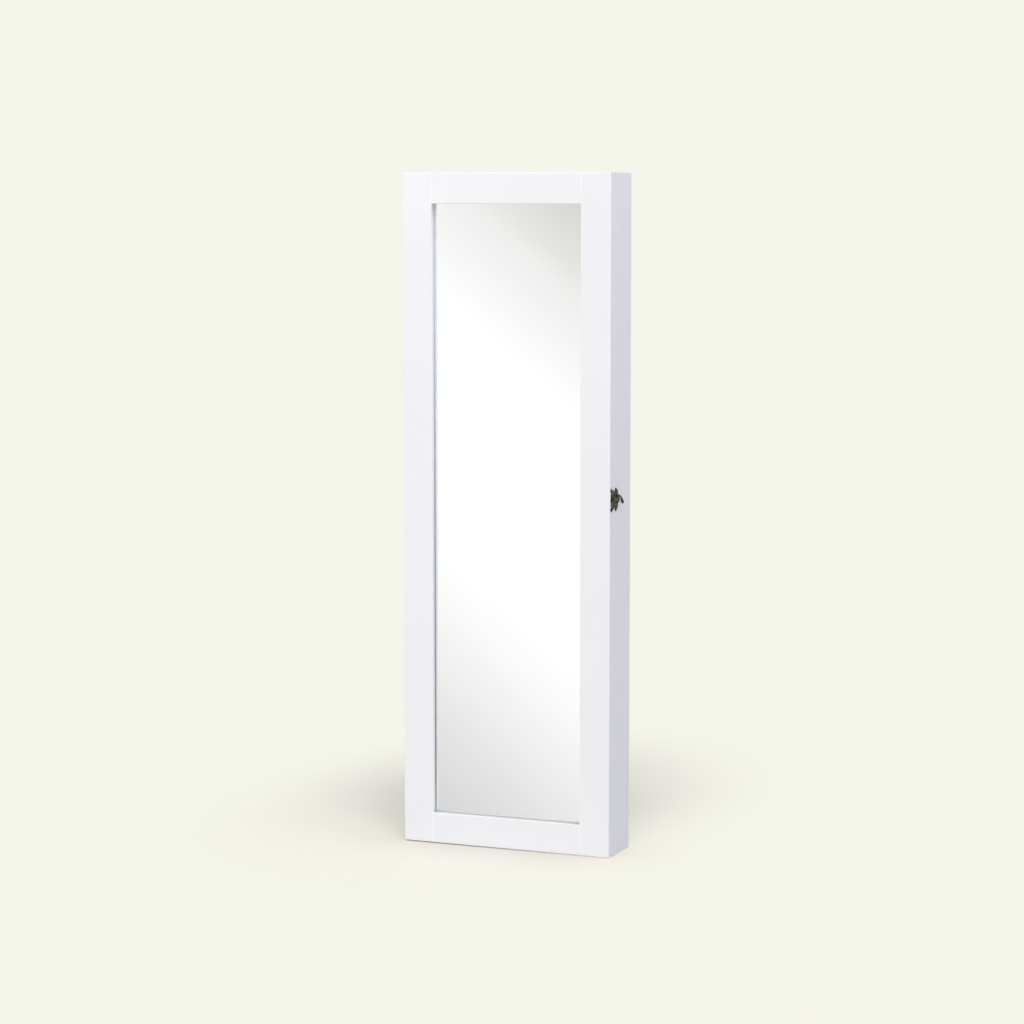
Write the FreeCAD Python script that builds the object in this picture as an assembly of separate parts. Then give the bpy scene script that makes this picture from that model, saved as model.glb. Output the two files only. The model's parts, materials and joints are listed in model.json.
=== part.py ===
import FreeCAD, Part
import math
import os

# Wall cabinet for jewellery with a full-length mirror door, here standing on the floor.
#
# Millimetres. X is the width, +Y points at the wall and +Z is up. The origin is the middle of the
# cabinet's footprint on the floor. The door is hung on its left edge, and a hook latch on the
# right side holds it shut.

# ---------------------------------------------------------------- driving sizes

# whole cabinet
CABINET_WIDTH = 360.0
CABINET_HEIGHT = 1100.0
CABINET_DEPTH = 95.0  # front of the door to the wall
EDGE_EASING = 1.0  # radius on the outer edges
FIT = 0.1  # play between a piece and the groove, slot or hole that it sits in

# case
CASE_PANEL = 12.0  # thickness of sides, top and bottom
BACK_PANEL = 3.0
BACK_GROOVE = 5.0  # how deep the back panel sits in the case
SHELF = 9.0  # thickness of shelves and divider
SHELF_SETBACK = 6.0  # shelf's front edge behind the case's front edge
DADO = 3.0  # depth of the slots that carry shelves, divider and earring bars
HANGING_RAIL = 10.0  # thickness of the rails behind the back panel
UPPER_RAIL_HEIGHT = 80.0
LOWER_RAIL_HEIGHT = 50.0

# holes for the screws that hold the cabinet on a wall
WALL_HOLE_RADIUS = 2.75
WALL_HOLE_SPACING = 240.0
WALL_HOLE_INSET = 25.0  # from the case's inside top and bottom

# bays, from the bottom up; the necklace bay takes the rest of the height
LOWER_BAY = 150.0
UPPER_BAY = 140.0
BRACELET_BAY = 150.0
RING_BAY = 200.0

# velvet-covered card
LINING = 1.5
LINING_MARGIN = 0.5
LINING_SETBACK = 2.0  # floor card's front edge behind the shelf's front edge

# necklace hooks and their rail
HOOK_RAIL_HEIGHT = 28.0
HOOK_RAIL_DEPTH = 10.0
HOOK_RAIL_DROP = 54.0  # rail's top below the case's top panel
HOOK_RAIL_CHAMFER = 1.5
HOOK_COUNT = 12
HOOK_END_MARGIN = 19.5  # first hook from the case's side
HOOK_WIRE_RADIUS = 1.3
HOOK_REACH = 10.0  # straight shank in front of the rail
HOOK_BEND_RADIUS = 3.5
HOOK_TIP_RISE = 6.0
HOOK_BALL_RADIUS = 2.1
HOOK_COLLAR_RADIUS = 3.2
HOOK_COLLAR_THICKNESS = 1.2
HOOK_THREAD_LENGTH = 6.0

# ring rolls
RING_ROLL_COUNT = 8
RING_ROLL_DEPTH = 20.0
RING_ROLL_SIDE_PLAY = 1.0
RING_ROLL_GAP = 0.8  # between two rolls
RING_ROLL_END_ROUNDING = 2.5
SOFT_PLAY = 0.3  # between a soft roll and the card behind it

# earring bars
EARRING_BAR_COUNT = 4
EARRING_BAR_HEIGHT = 14.0
EARRING_BAR_THICKNESS = 4.0
EARRING_BAR_STANDOFF = 25.0  # lining to the back of the bar
EARRING_PAIRS = 8
EARRING_END_MARGIN = 15.0  # middle of the first pair from the bar's visible end
EARRING_HOLE_SPACING = 8.0  # between the two holes of a pair
EARRING_HOLE_RADIUS = 1.0

# bracelet rod and its open cups
ROD_RADIUS = 6.0
ROD_PLAY = 0.3  # rod to cup, all round
ROD_END_PLAY = 0.5
ROD_RISE = 112.0  # rod's axis above the bracelet bay's floor
CUP_WALL = 2.6
CUP_LENGTH = 8.0
CUP_FLANGE_RADIUS = 13.0
CUP_FLANGE_THICKNESS = 2.5

# guard rails in front of the two lower shelves
GUARD_RADIUS = 4.0
GUARD_HOLE_DEPTH = 5.0
GUARD_RISE = 34.0  # axis above the bay's floor
GUARD_SETBACK = 11.0  # axis behind the case's front edge

# door
DOOR_THICKNESS = 19.0
DOOR_GAP = 1.0  # between door and case
DOOR_FLOOR_GAP = 1.5  # so that the door clears the floor
STILE_WIDTH = 51.0
RAIL_WIDTH = 50.0
FRAME_LIP = 8.0  # thickness of wood in front of the mirror
REBATE_WIDTH = 8.0
JOINT_CHAMFER = 0.8  # along the mirror opening and the joints of the frame
GLASS_THICKNESS = 4.0
GLASS_PLAY = 1.0  # round the glass in its rebate
BACKING_THICKNESS = 3.0
DOOR_LINING = 1.0
BEAD_CHAMFER = 1.0
BRAD_RADIUS = 0.5
BRAD_LENGTH = 14.0
BRAD_END_MARGIN = 60.0  # first brad from the opening's corner
UPRIGHT_BRADS = 6
CROSS_BRADS = 3
BUMPER_RADIUS = 4.0
BUMPER_THICKNESS = 0.7
BUMPER_INSET = 80.0  # from the top and the bottom of the case

# wooden dowels
DOWEL_RADIUS = 3.0
DOWEL_SKIN = 3.0  # wood left beyond a dowel's end in the case's side
DOWEL_IN_END = 21.0  # depth in the end of the top and bottom panels
CASE_DOWEL_SPREAD = 20.0  # either side of the middle of the panel in front of the groove
FRAME_DOWEL_HALF = 20.0  # depth in stile and in rail
FRAME_DOWEL_SPREAD = 10.0  # either side of the middle of the rail's solid part

# hinges
HINGE_LENGTH = 40.0
HINGE_INSET = 120.0  # outer hinges' middle from the door's ends
LEAF_THICKNESS = 1.0
LEAF_SPLIT = 0.1  # each leaf's distance from the plane through the pin
LEAF_MARGIN = 1.0  # leaf's edge to the side panel's inner face
LEAF_CORNER = 2.0
KNUCKLE_COUNT = 5
KNUCKLE_RADIUS = 2.4
KNUCKLE_PLAY = 0.1  # each knuckle's end to the middle of the joint
KNUCKLE_NOTCH_PLAY = 0.25  # round the other leaf's knuckles
BARREL_CLEARANCE = 0.4  # barrel to the cabinet's left face
PIN_RADIUS = 1.1
PIN_PRESS_PLAY = 0.02  # in the case leaf's knuckles
PIN_RUNNING_PLAY = 0.08  # in the door leaf's knuckles
PIN_HEAD = (2.0, 1.2)  # radius and height
HINGE_SCREW_PITCH = 14.0

# countersunk screws: shank radius, head radius, length
HINGE_SCREW = (1.2, 2.2, 9.0)
RAIL_SCREW = (1.5, 3.0, 21.5)
CUP_SCREW = (1.5, 3.0, 10.0)
SCREW_SLOT_WIDTH = 0.6
SCREW_SLOT_DEPTH = 0.5

# latch
LATCH_HEIGHT = 580.5  # middle of the latch above the floor
LATCH_PLATE = 0.8
LATCH_SEAM = 0.9  # each plate's edge from the middle of the door gap
LATCH_SPAN = 9.0  # post and pivot, each from the middle of the door gap
LATCH_RELIEF = 0.4  # height of the raised rims round the piercings
LATCH_RIM = 0.6  # width of the raised rims
LATCH_PIN_RADIUS = 0.8
LATCH_PIN_LENGTH = 9.0
LATCH_PIN_HEAD = (1.7, 0.6)
LATCH_POST_RADIUS = 1.5
LATCH_POST_HEAD = (2.4, 0.9)
LATCH_BOSS = (2.8, 1.1)
LATCH_RIVET_RADIUS = 1.3
LATCH_RIVET_HEAD = (2.6, 1.1)
LATCH_RIVET_DEPTH = 4.0  # in the side panel
LATCH_RIVET_PLAY = 0.05
LATCH_HOOK_THICKNESS = 2.6
LATCH_HOOK_PLAY = 0.2  # under and over the hook
LATCH_HUB_RADIUS = 4.2
LATCH_NOTCH_PLAY = 0.4  # hook's notch round the post
LATCH_JAW = 3.2  # width of the hook's metal round the notch
LATCH_NOSE_DROP = 2.6  # nose's straight part below the post's middle
LATCH_HEEL = 1.0  # notch's rear wall below the post's middle
LATCH_WAIST = (3.0, 1.4)  # arm's top and bottom edges from the line post to pivot, at mid-span
LATCH_TAIL_RADIUS = 8.1
LATCH_TAIL_WIDTH = 3.2
LATCH_TAIL_ANGLES = (-24.0, 160.0)
LATCH_GRIP_RADIUS = 3.2
LATCH_GRIP_RAISE = 1.8  # ball's middle above the hook's middle plane

# outline of a latch plate: a straight-edged middle and discs at (distance from the seam edge,
# height, radius), each repeated below the middle; the first disc carries the plate's pin
LATCH_CORE = (12.0, 13.5)  # width and half height of the plate's middle
CASE_PLATE_LOBES = ((4.6, 15.4, 3.6), (11.6, 10.6, 3.4), (13.4, 4.4, 3.4), (14.2, 0.0, 3.0))
DOOR_PLATE_LOBES = ((14.0, 15.0, 3.6), (4.0, 12.8, 3.0), (12.6, 7.4, 3.4), (14.2, 0.0, 3.0))
LATCH_PIERCINGS = ((8.6, 9.2, 1.7), (4.0, 7.4, 1.4), (12.6, 5.0, 1.4))

# ---------------------------------------------------------------- places

V = FreeCAD.Vector
X_AXIS = V(1, 0, 0)
Y_AXIS = V(0, 1, 0)
Z_AXIS = V(0, 0, 1)

LEFT = -CABINET_WIDTH / 2
RIGHT = CABINET_WIDTH / 2
DOOR_FRONT = -CABINET_DEPTH / 2
DOOR_BACK = DOOR_FRONT + DOOR_THICKNESS
CASE_FRONT = DOOR_BACK + DOOR_GAP
WALL = CABINET_DEPTH / 2
SEAM = (DOOR_BACK + CASE_FRONT) / 2

INNER_LEFT = LEFT + CASE_PANEL
INNER_RIGHT = RIGHT - CASE_PANEL
INNER_BOTTOM = CASE_PANEL
INNER_TOP = CABINET_HEIGHT - CASE_PANEL
BACK_REAR = WALL - HANGING_RAIL
BACK_FRONT = BACK_REAR - BACK_PANEL
LINING_FRONT = BACK_FRONT - LINING
SHELF_FRONT = CASE_FRONT + SHELF_SETBACK

LOWER_SHELF_TOP = INNER_BOTTOM + LOWER_BAY + SHELF
UPPER_SHELF_TOP = LOWER_SHELF_TOP + UPPER_BAY + SHELF
RING_SHELF_TOP = UPPER_SHELF_TOP + BRACELET_BAY + SHELF
NECKLACE_SHELF_TOP = RING_SHELF_TOP + RING_BAY + SHELF
SHELF_TOPS = {
    "lower_shelf": LOWER_SHELF_TOP,
    "upper_shelf": UPPER_SHELF_TOP,
    "ring_shelf": RING_SHELF_TOP,
    "necklace_shelf": NECKLACE_SHELF_TOP,
}
DIVIDER_LEFT = -SHELF / 2
DIVIDER_RIGHT = SHELF / 2

HOOK_RAIL_TOP = INNER_TOP - HOOK_RAIL_DROP
HOOK_RAIL_MIDDLE = HOOK_RAIL_TOP - HOOK_RAIL_HEIGHT / 2
HOOK_RAIL_FRONT = LINING_FRONT - HOOK_RAIL_DEPTH

EARRING_BAR_BACK = LINING_FRONT - EARRING_BAR_STANDOFF
EARRING_BAR_FRONT = EARRING_BAR_BACK - EARRING_BAR_THICKNESS

ROD_Y = (SHELF_FRONT + LINING_FRONT) / 2
ROD_Z = UPPER_SHELF_TOP + ROD_RISE
CUP_INNER = ROD_RADIUS + ROD_PLAY
CUP_OUTER = CUP_INNER + CUP_WALL
GUARD_Y = CASE_FRONT + GUARD_SETBACK
GUARD_HEIGHTS = {
    "lower_guard_rail": INNER_BOTTOM + GUARD_RISE,
    "upper_guard_rail": LOWER_SHELF_TOP + GUARD_RISE,
}

DOOR_BOTTOM = DOOR_FLOOR_GAP
DOOR_TOP = CABINET_HEIGHT
DOOR_CORE = (DOOR_FRONT + DOOR_BACK) / 2
OPENING_LEFT = LEFT + STILE_WIDTH
OPENING_RIGHT = RIGHT - STILE_WIDTH
OPENING_BOTTOM = DOOR_BOTTOM + RAIL_WIDTH
OPENING_TOP = DOOR_TOP - RAIL_WIDTH
REBATE_LEFT = OPENING_LEFT - REBATE_WIDTH
REBATE_RIGHT = OPENING_RIGHT + REBATE_WIDTH
REBATE_BOTTOM = OPENING_BOTTOM - REBATE_WIDTH
REBATE_TOP = OPENING_TOP + REBATE_WIDTH
GLASS_FRONT = DOOR_FRONT + FRAME_LIP
GLASS_REAR = GLASS_FRONT + GLASS_THICKNESS
BACKING_REAR = GLASS_REAR + BACKING_THICKNESS
BEAD_CORE = (BACKING_REAR + DOOR_BACK) / 2

PIN_X = LEFT - BARREL_CLEARANCE - KNUCKLE_RADIUS
LEAF_EDGE = INNER_LEFT - LEAF_MARGIN
HINGE_SCREW_X = (LEFT + LEAF_EDGE) / 2
HINGE_HEIGHTS = {
    "lower": DOOR_BOTTOM + HINGE_INSET,
    "middle": (DOOR_BOTTOM + DOOR_TOP) / 2,
    "upper": DOOR_TOP - HINGE_INSET,
}

PLATE_TOP = RIGHT + LATCH_PLATE
BOSS_TOP = PLATE_TOP + LATCH_BOSS[1]
HOOK_UNDER = BOSS_TOP + LATCH_HOOK_PLAY
HOOK_OVER = HOOK_UNDER + LATCH_HOOK_THICKNESS
HEAD_UNDER = HOOK_OVER + LATCH_HOOK_PLAY
PIVOT_Y = SEAM + LATCH_SPAN
POST_Y = SEAM - LATCH_SPAN
NOTCH_RADIUS = LATCH_POST_RADIUS + LATCH_NOTCH_PLAY

# ---------------------------------------------------------------- helpers


def box(x, y, z):
    """Box from three (low, high) pairs."""
    return Part.makeBox(x[1] - x[0], y[1] - y[0], z[1] - z[0], V(x[0], y[0], z[0]))


def bar(radius, start, end):
    """Round bar between two points."""
    start, end = V(*start), V(*end)
    return Part.makeCylinder(radius, (end - start).Length, start, end - start)


def dome(size, base, direction):
    """Cap of a ball; size is its radius and height, and base the middle of its flat side."""
    radius, height = size
    ball_radius = (radius**2 + height**2) / (2 * height)
    ball = Part.makeSphere(ball_radius, V(*base) + V(*direction) * (height - ball_radius))
    return ball.common(Part.makeCylinder(2 * radius, 2 * height, V(*base), V(*direction)))


def fuse(shapes):
    return shapes[0].multiFuse(shapes[1:]).removeSplitter()


def line(start, end):
    return Part.LineSegment(V(*start), V(*end)).toShape()


def arc(start, through, end):
    return Part.Arc(V(*start), V(*through), V(*end)).toShape()


def straight_edges(shape, test):
    """Straight edges whose middle and direction pass the test."""
    found = []
    for edge in shape.Edges:
        if isinstance(edge.Curve, Part.Line):
            first, last = edge.Vertexes[0].Point, edge.Vertexes[-1].Point
            if test((first + last) * 0.5, (last - first).normalize()):
                found.append(edge)
    return found


def near(value, target):
    return abs(value - target) < 0.001


def along(direction, axis):
    return abs(direction.dot(axis)) > 0.999


def spread(start, end, count):
    """Evenly spaced values from start to end."""
    step = (end - start) / (count - 1)
    return [start + step * index for index in range(count)]


def countersunk_screw(size, head, direction):
    """Flat-headed screw with a slot; the direction, along X or Y, points from head to tip."""
    shank, head_radius, length = size
    top, way = V(*head), V(*direction)
    screw = fuse(
        [
            Part.makeCone(head_radius, shank, head_radius - shank, top, way),
            Part.makeCylinder(shank, length - shank, top, way),
            Part.makeCone(shank, shank / 4, shank, top + way * (length - shank), way),
        ]
    )
    sign = direction[0] + direction[1]
    depth = sorted((-sign, sign * SCREW_SLOT_DEPTH))
    across = (-head_radius - 1, head_radius + 1)
    height = (-SCREW_SLOT_WIDTH / 2, SCREW_SLOT_WIDTH / 2)
    slot = box(across, depth, height) if along(way, Y_AXIS) else box(depth, across, height)
    slot.translate(top)
    return screw.cut(slot)


def screw_hole(size, head, direction):
    """Space for a countersunk screw, with play all round."""
    shank, head_radius, length = size
    top, way = V(*head), V(*direction)
    play = FIT / 2
    sink = Part.makeCone(head_radius + play, shank + play, head_radius - shank, top, way)
    return sink.fuse(Part.makeCylinder(shank + play, length + play, top, way))


nodes = {}


def keep(name, *shapes):
    """Stores a sub-part, or a group of separate ones, under its node name."""
    solids = [solid for shape in shapes for solid in shape.Solids]
    nodes[name] = solids[0] if len(solids) == 1 else Part.makeCompound(solids)


# ---------------------------------------------------------------- shared places


def case_dowels(radius, play=0.0):
    """Dowels between the sides and the top and bottom panels."""
    middle = (CASE_FRONT + BACK_FRONT) / 2
    in_side = CASE_PANEL - DOWEL_SKIN
    return [
        bar(
            radius,
            (face + sign * (in_side + play), middle + offset, z),
            (face - sign * (DOWEL_IN_END + play), middle + offset, z),
        )
        for face, sign in ((INNER_LEFT, -1), (INNER_RIGHT, 1))
        for offset in (-CASE_DOWEL_SPREAD, CASE_DOWEL_SPREAD)
        for z in (CASE_PANEL / 2, CABINET_HEIGHT - CASE_PANEL / 2)
    ]


def frame_dowels(radius, play=0.0):
    """Dowels between the stiles and the rails of the door, in the rails' unrebated part."""
    reach = FRAME_DOWEL_HALF + play
    return [
        bar(radius, (joint - reach, DOOR_CORE, middle + offset), (joint + reach, DOOR_CORE, middle + offset))
        for joint in (OPENING_LEFT, OPENING_RIGHT)
        for middle in ((DOOR_BOTTOM + REBATE_BOTTOM) / 2, (DOOR_TOP + REBATE_TOP) / 2)
        for offset in (-FRAME_DOWEL_SPREAD, FRAME_DOWEL_SPREAD)
    ]


def wall_holes():
    """Through holes for the four wall screws, from the lining to the wall."""
    return [
        bar(WALL_HOLE_RADIUS, (x, LINING_FRONT - 1, z), (x, WALL + 1, z))
        for x in (-WALL_HOLE_SPACING / 2, WALL_HOLE_SPACING / 2)
        for z in (INNER_BOTTOM + WALL_HOLE_INSET, INNER_TOP - WALL_HOLE_INSET)
    ]


def hook_places():
    return spread(INNER_LEFT + HOOK_END_MARGIN, INNER_RIGHT - HOOK_END_MARGIN, HOOK_COUNT)


def rail_screw_heads():
    """Rail screws in the first, the middle and the last space between two hooks."""
    hooks = hook_places()
    spaces = [(first + second) / 2 for first, second in zip(hooks, hooks[1:])]
    chosen = (spaces[0], spaces[len(spaces) // 2], spaces[-1])
    return [(x, HOOK_RAIL_FRONT, HOOK_RAIL_MIDDLE) for x in chosen]


def rail_screw_holes():
    return [screw_hole(RAIL_SCREW, head, (0, 1, 0)) for head in rail_screw_heads()]


def cup_screws():
    """Head and direction of the screw in each cup's flange."""
    return [
        ((INNER_LEFT + CUP_FLANGE_THICKNESS, ROD_Y, ROD_Z), (-1, 0, 0)),
        ((INNER_RIGHT - CUP_FLANGE_THICKNESS, ROD_Y, ROD_Z), (1, 0, 0)),
    ]


def cup_screw_holes():
    return [screw_hole(CUP_SCREW, *place) for place in cup_screws()]


def earring_bar_heights():
    pitch = RING_BAY / EARRING_BAR_COUNT
    return [RING_SHELF_TOP + pitch * (index + 0.5) for index in range(EARRING_BAR_COUNT)]


def hinge_screws(side):
    """Head and direction of each hinge screw; side is 1 for the case and -1 for the door."""
    return [
        ((HINGE_SCREW_X, SEAM + side * LEAF_SPLIT, height + offset), (0, side, 0))
        for height in HINGE_HEIGHTS.values()
        for offset in (-HINGE_SCREW_PITCH, 0.0, HINGE_SCREW_PITCH)
    ]


def hinge_screw_holes(side):
    return [screw_hole(HINGE_SCREW, *place) for place in hinge_screws(side)]


def leaf_recesses(side):
    """Shallow recesses that the hinge leaves lie in."""
    depth = sorted((SEAM, SEAM + side * (LEAF_SPLIT + LEAF_THICKNESS)))
    reach = HINGE_LENGTH / 2 + FIT
    return [
        box((PIN_X, LEAF_EDGE + FIT), depth, (height - reach, height + reach))
        for height in HINGE_HEIGHTS.values()
    ]


def latch_point(side, distance, rise):
    """(y, z) at a distance from a latch plate's seam edge; side is 1 on the case, -1 on the door."""
    return SEAM + side * (LATCH_SEAM + distance), LATCH_HEIGHT + rise


def latch_pin_points(side):
    distance, rise, _ = (CASE_PLATE_LOBES if side > 0 else DOOR_PLATE_LOBES)[0]
    return [latch_point(side, distance, rise), latch_point(side, distance, -rise)]


def latch_pin_holes(side):
    depth = LATCH_PIN_LENGTH + FIT
    return [
        bar(LATCH_PIN_RADIUS + FIT / 2, (RIGHT - depth, y, z), (PLATE_TOP + 1, y, z))
        for y, z in latch_pin_points(side)
    ]


def rivet_hole():
    return bar(
        LATCH_RIVET_RADIUS + LATCH_RIVET_PLAY,
        (RIGHT - LATCH_RIVET_DEPTH - FIT, PIVOT_Y, LATCH_HEIGHT),
        (HEAD_UNDER, PIVOT_Y, LATCH_HEIGHT),
    )


def bead_brads(radius, play=0.0):
    """Small nails through the beads into the walls of the rebate."""
    length = BRAD_LENGTH + play
    heights = spread(OPENING_BOTTOM + BRAD_END_MARGIN, OPENING_TOP - BRAD_END_MARGIN, UPRIGHT_BRADS)
    across = spread(OPENING_LEFT + BRAD_END_MARGIN, OPENING_RIGHT - BRAD_END_MARGIN, CROSS_BRADS)
    y = BEAD_CORE
    brads = [bar(radius, (OPENING_LEFT, y, z), (OPENING_LEFT - length, y, z)) for z in heights]
    brads += [bar(radius, (OPENING_RIGHT, y, z), (OPENING_RIGHT + length, y, z)) for z in heights]
    brads += [bar(radius, (x, y, OPENING_BOTTOM), (x, y, OPENING_BOTTOM - length)) for x in across]
    brads += [bar(radius, (x, y, OPENING_TOP), (x, y, OPENING_TOP + length)) for x in across]
    return brads


def brad_holes():
    return bead_brads(BRAD_RADIUS + FIT / 2, FIT)


# ---------------------------------------------------------------- case


def back_groove():
    """Space for the back panel in the case's sides, top and bottom."""
    return box(
        (INNER_LEFT - BACK_GROOVE, INNER_RIGHT + BACK_GROOVE),
        (BACK_FRONT - FIT, BACK_REAR + FIT),
        (INNER_BOTTOM - BACK_GROOVE, INNER_TOP + BACK_GROOVE),
    )


def shelf_dados():
    """Slots in the sides for the shelves' ends."""
    return [
        box(
            (INNER_LEFT - DADO, INNER_RIGHT + DADO),
            (SHELF_FRONT - FIT, BACK_FRONT),
            (top - SHELF - FIT, top + FIT),
        )
        for top in SHELF_TOPS.values()
    ]


def guard_holes():
    return [
        bar(
            GUARD_RADIUS + FIT,
            (INNER_LEFT - GUARD_HOLE_DEPTH, GUARD_Y, z),
            (INNER_RIGHT + GUARD_HOLE_DEPTH, GUARD_Y, z),
        )
        for z in GUARD_HEIGHTS.values()
    ]


def earring_bar_slots():
    """Slots in the divider and in the right side for the earring bars' ends."""
    reach = EARRING_BAR_HEIGHT / 2 + FIT
    return [
        box(
            (DIVIDER_RIGHT - DADO, INNER_RIGHT + DADO),
            (EARRING_BAR_FRONT - FIT, EARRING_BAR_BACK + FIT),
            (z - reach, z + reach),
        )
        for z in earring_bar_heights()
    ]


def side_panel(inner, outer):
    """One side of the case, with the slots and holes that the pieces on it need."""
    panel = box(sorted((inner, outer)), (CASE_FRONT, WALL), (0, CABINET_HEIGHT))

    def eased(mid, way):
        upright = along(way, Z_AXIS)
        top = along(way, Y_AXIS) and near(mid.z, CABINET_HEIGHT)
        return near(mid.x, outer) and (upright or top)

    panel = panel.makeFillet(EDGE_EASING, straight_edges(panel, eased))
    tools = [back_groove()] + shelf_dados() + guard_holes() + cup_screw_holes()
    tools += case_dowels(DOWEL_RADIUS + FIT, FIT)
    if outer == LEFT:
        tools += leaf_recesses(1) + hinge_screw_holes(1)
    else:
        tools += earring_bar_slots() + latch_pin_holes(1) + [rivet_hole()]
    return panel.cut(tools)


def end_panel(z):
    """Top or bottom of the case, between the sides."""
    panel = box((INNER_LEFT, INNER_RIGHT), (CASE_FRONT, WALL), z)
    return panel.cut([back_groove()] + case_dowels(DOWEL_RADIUS + FIT, FIT))


def back_panel():
    reach = BACK_GROOVE - FIT
    panel = box(
        (INNER_LEFT - reach, INNER_RIGHT + reach),
        (BACK_FRONT, BACK_REAR),
        (INNER_BOTTOM - reach, INNER_TOP + reach),
    )
    return panel.cut(wall_holes() + rail_screw_holes())


def hanging_rail(z):
    """Rail behind the back panel, screwed to the wall."""
    rail = box((INNER_LEFT, INNER_RIGHT), (BACK_REAR, WALL), z)
    return rail.cut(wall_holes() + rail_screw_holes())


def divider_slot():
    """Space for the divider's ends in the shelves below and above it."""
    return box(
        (DIVIDER_LEFT - FIT, DIVIDER_RIGHT + FIT),
        (SHELF_FRONT - 1, LINING_FRONT + FIT),
        (RING_SHELF_TOP - DADO, RING_SHELF_TOP + RING_BAY + DADO),
    )


def shelf(top):
    reach = DADO - FIT
    board = box((INNER_LEFT - reach, INNER_RIGHT + reach), (SHELF_FRONT, BACK_FRONT), (top - SHELF, top))
    return board.cut(divider_slot())


def centre_divider():
    reach = DADO - FIT
    board = box(
        (DIVIDER_LEFT, DIVIDER_RIGHT),
        (SHELF_FRONT, LINING_FRONT),
        (RING_SHELF_TOP - reach, RING_SHELF_TOP + RING_BAY + reach),
    )
    return board.cut(earring_bar_slots())


def lining(floor, ceiling, with_floor=True):
    """Velvet-covered card behind a bay, in most bays with a flap over the bay's floor."""
    x = (INNER_LEFT + LINING_MARGIN, INNER_RIGHT - LINING_MARGIN)
    card = box(x, (LINING_FRONT, BACK_FRONT), (floor, ceiling - LINING_MARGIN))
    if with_floor:
        flap = box(x, (SHELF_FRONT + LINING_SETBACK, BACK_FRONT), (floor, floor + LINING))
        card = fuse([card, flap])
    return card.cut(wall_holes() + rail_screw_holes())


def door_bumpers():
    x = (INNER_RIGHT + RIGHT) / 2
    return [
        bar(BUMPER_RADIUS, (x, CASE_FRONT, z), (x, CASE_FRONT - BUMPER_THICKNESS, z))
        for z in (BUMPER_INSET, CABINET_HEIGHT - BUMPER_INSET)
    ]


def build_case():
    keep("left_side_panel", side_panel(INNER_LEFT, LEFT))
    keep("right_side_panel", side_panel(INNER_RIGHT, RIGHT))
    keep("bottom_panel", end_panel((0, INNER_BOTTOM)))
    keep("top_panel", end_panel((INNER_TOP, CABINET_HEIGHT)))
    keep("case_dowels", *case_dowels(DOWEL_RADIUS))
    keep("back_panel", back_panel())
    keep("upper_hanging_rail", hanging_rail((INNER_TOP - UPPER_RAIL_HEIGHT, INNER_TOP)))
    keep("lower_hanging_rail", hanging_rail((INNER_BOTTOM, INNER_BOTTOM + LOWER_RAIL_HEIGHT)))
    for name, top in SHELF_TOPS.items():
        keep(name, shelf(top))
    keep("centre_divider", centre_divider())
    keep("necklace_lining", lining(NECKLACE_SHELF_TOP, INNER_TOP))
    keep("ring_lining", lining(RING_SHELF_TOP, RING_SHELF_TOP + RING_BAY, with_floor=False))
    keep("bracelet_lining", lining(UPPER_SHELF_TOP, UPPER_SHELF_TOP + BRACELET_BAY))
    keep("upper_bay_lining", lining(LOWER_SHELF_TOP, LOWER_SHELF_TOP + UPPER_BAY))
    keep("lower_bay_lining", lining(INNER_BOTTOM, INNER_BOTTOM + LOWER_BAY))
    keep("door_bumpers", *door_bumpers())


# ---------------------------------------------------------------- fittings inside


def hook_rail():
    rail = box(
        (INNER_LEFT + FIT, INNER_RIGHT - FIT),
        (HOOK_RAIL_FRONT, LINING_FRONT),
        (HOOK_RAIL_TOP - HOOK_RAIL_HEIGHT, HOOK_RAIL_TOP),
    )
    front = straight_edges(rail, lambda mid, way: along(way, X_AXIS) and near(mid.y, HOOK_RAIL_FRONT))
    rail = rail.makeChamfer(HOOK_RAIL_CHAMFER, front)
    hole_end = HOOK_RAIL_FRONT + HOOK_THREAD_LENGTH + FIT
    z = HOOK_RAIL_MIDDLE
    radius = HOOK_WIRE_RADIUS + FIT / 2
    holes = [bar(radius, (x, HOOK_RAIL_FRONT - 1, z), (x, hole_end, z)) for x in hook_places()]
    return rail.cut(holes + rail_screw_holes())


def necklace_hook(x):
    """Screw-in hook: a shank with a collar, a quarter bend and an upturned end with a ball."""
    z = HOOK_RAIL_MIDDLE
    bend_y = HOOK_RAIL_FRONT - HOOK_REACH
    tip_y = bend_y - HOOK_BEND_RADIUS
    bend_top = z + HOOK_BEND_RADIUS
    slant = HOOK_BEND_RADIUS * math.sqrt(0.5)
    start = (x, HOOK_RAIL_FRONT + HOOK_THREAD_LENGTH, z)
    bend_start = (x, bend_y, z)
    bend_end = (x, tip_y, bend_top)
    tip = (x, tip_y, bend_top + HOOK_TIP_RISE)
    path = Part.Wire(
        [
            line(start, bend_start),
            arc(bend_start, (x, bend_y - slant, bend_top - slant), bend_end),
            line(bend_end, tip),
        ]
    )
    section = Part.Wire([Part.Circle(V(*start), Y_AXIS, HOOK_WIRE_RADIUS).toShape()])
    wire = path.makePipeShell([section], True, False)
    collar_front = HOOK_RAIL_FRONT - HOOK_COLLAR_THICKNESS
    collar = bar(HOOK_COLLAR_RADIUS, (x, HOOK_RAIL_FRONT, z), (x, collar_front, z))
    return fuse([wire, collar, Part.makeSphere(HOOK_BALL_RADIUS, V(*tip))])


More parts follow.
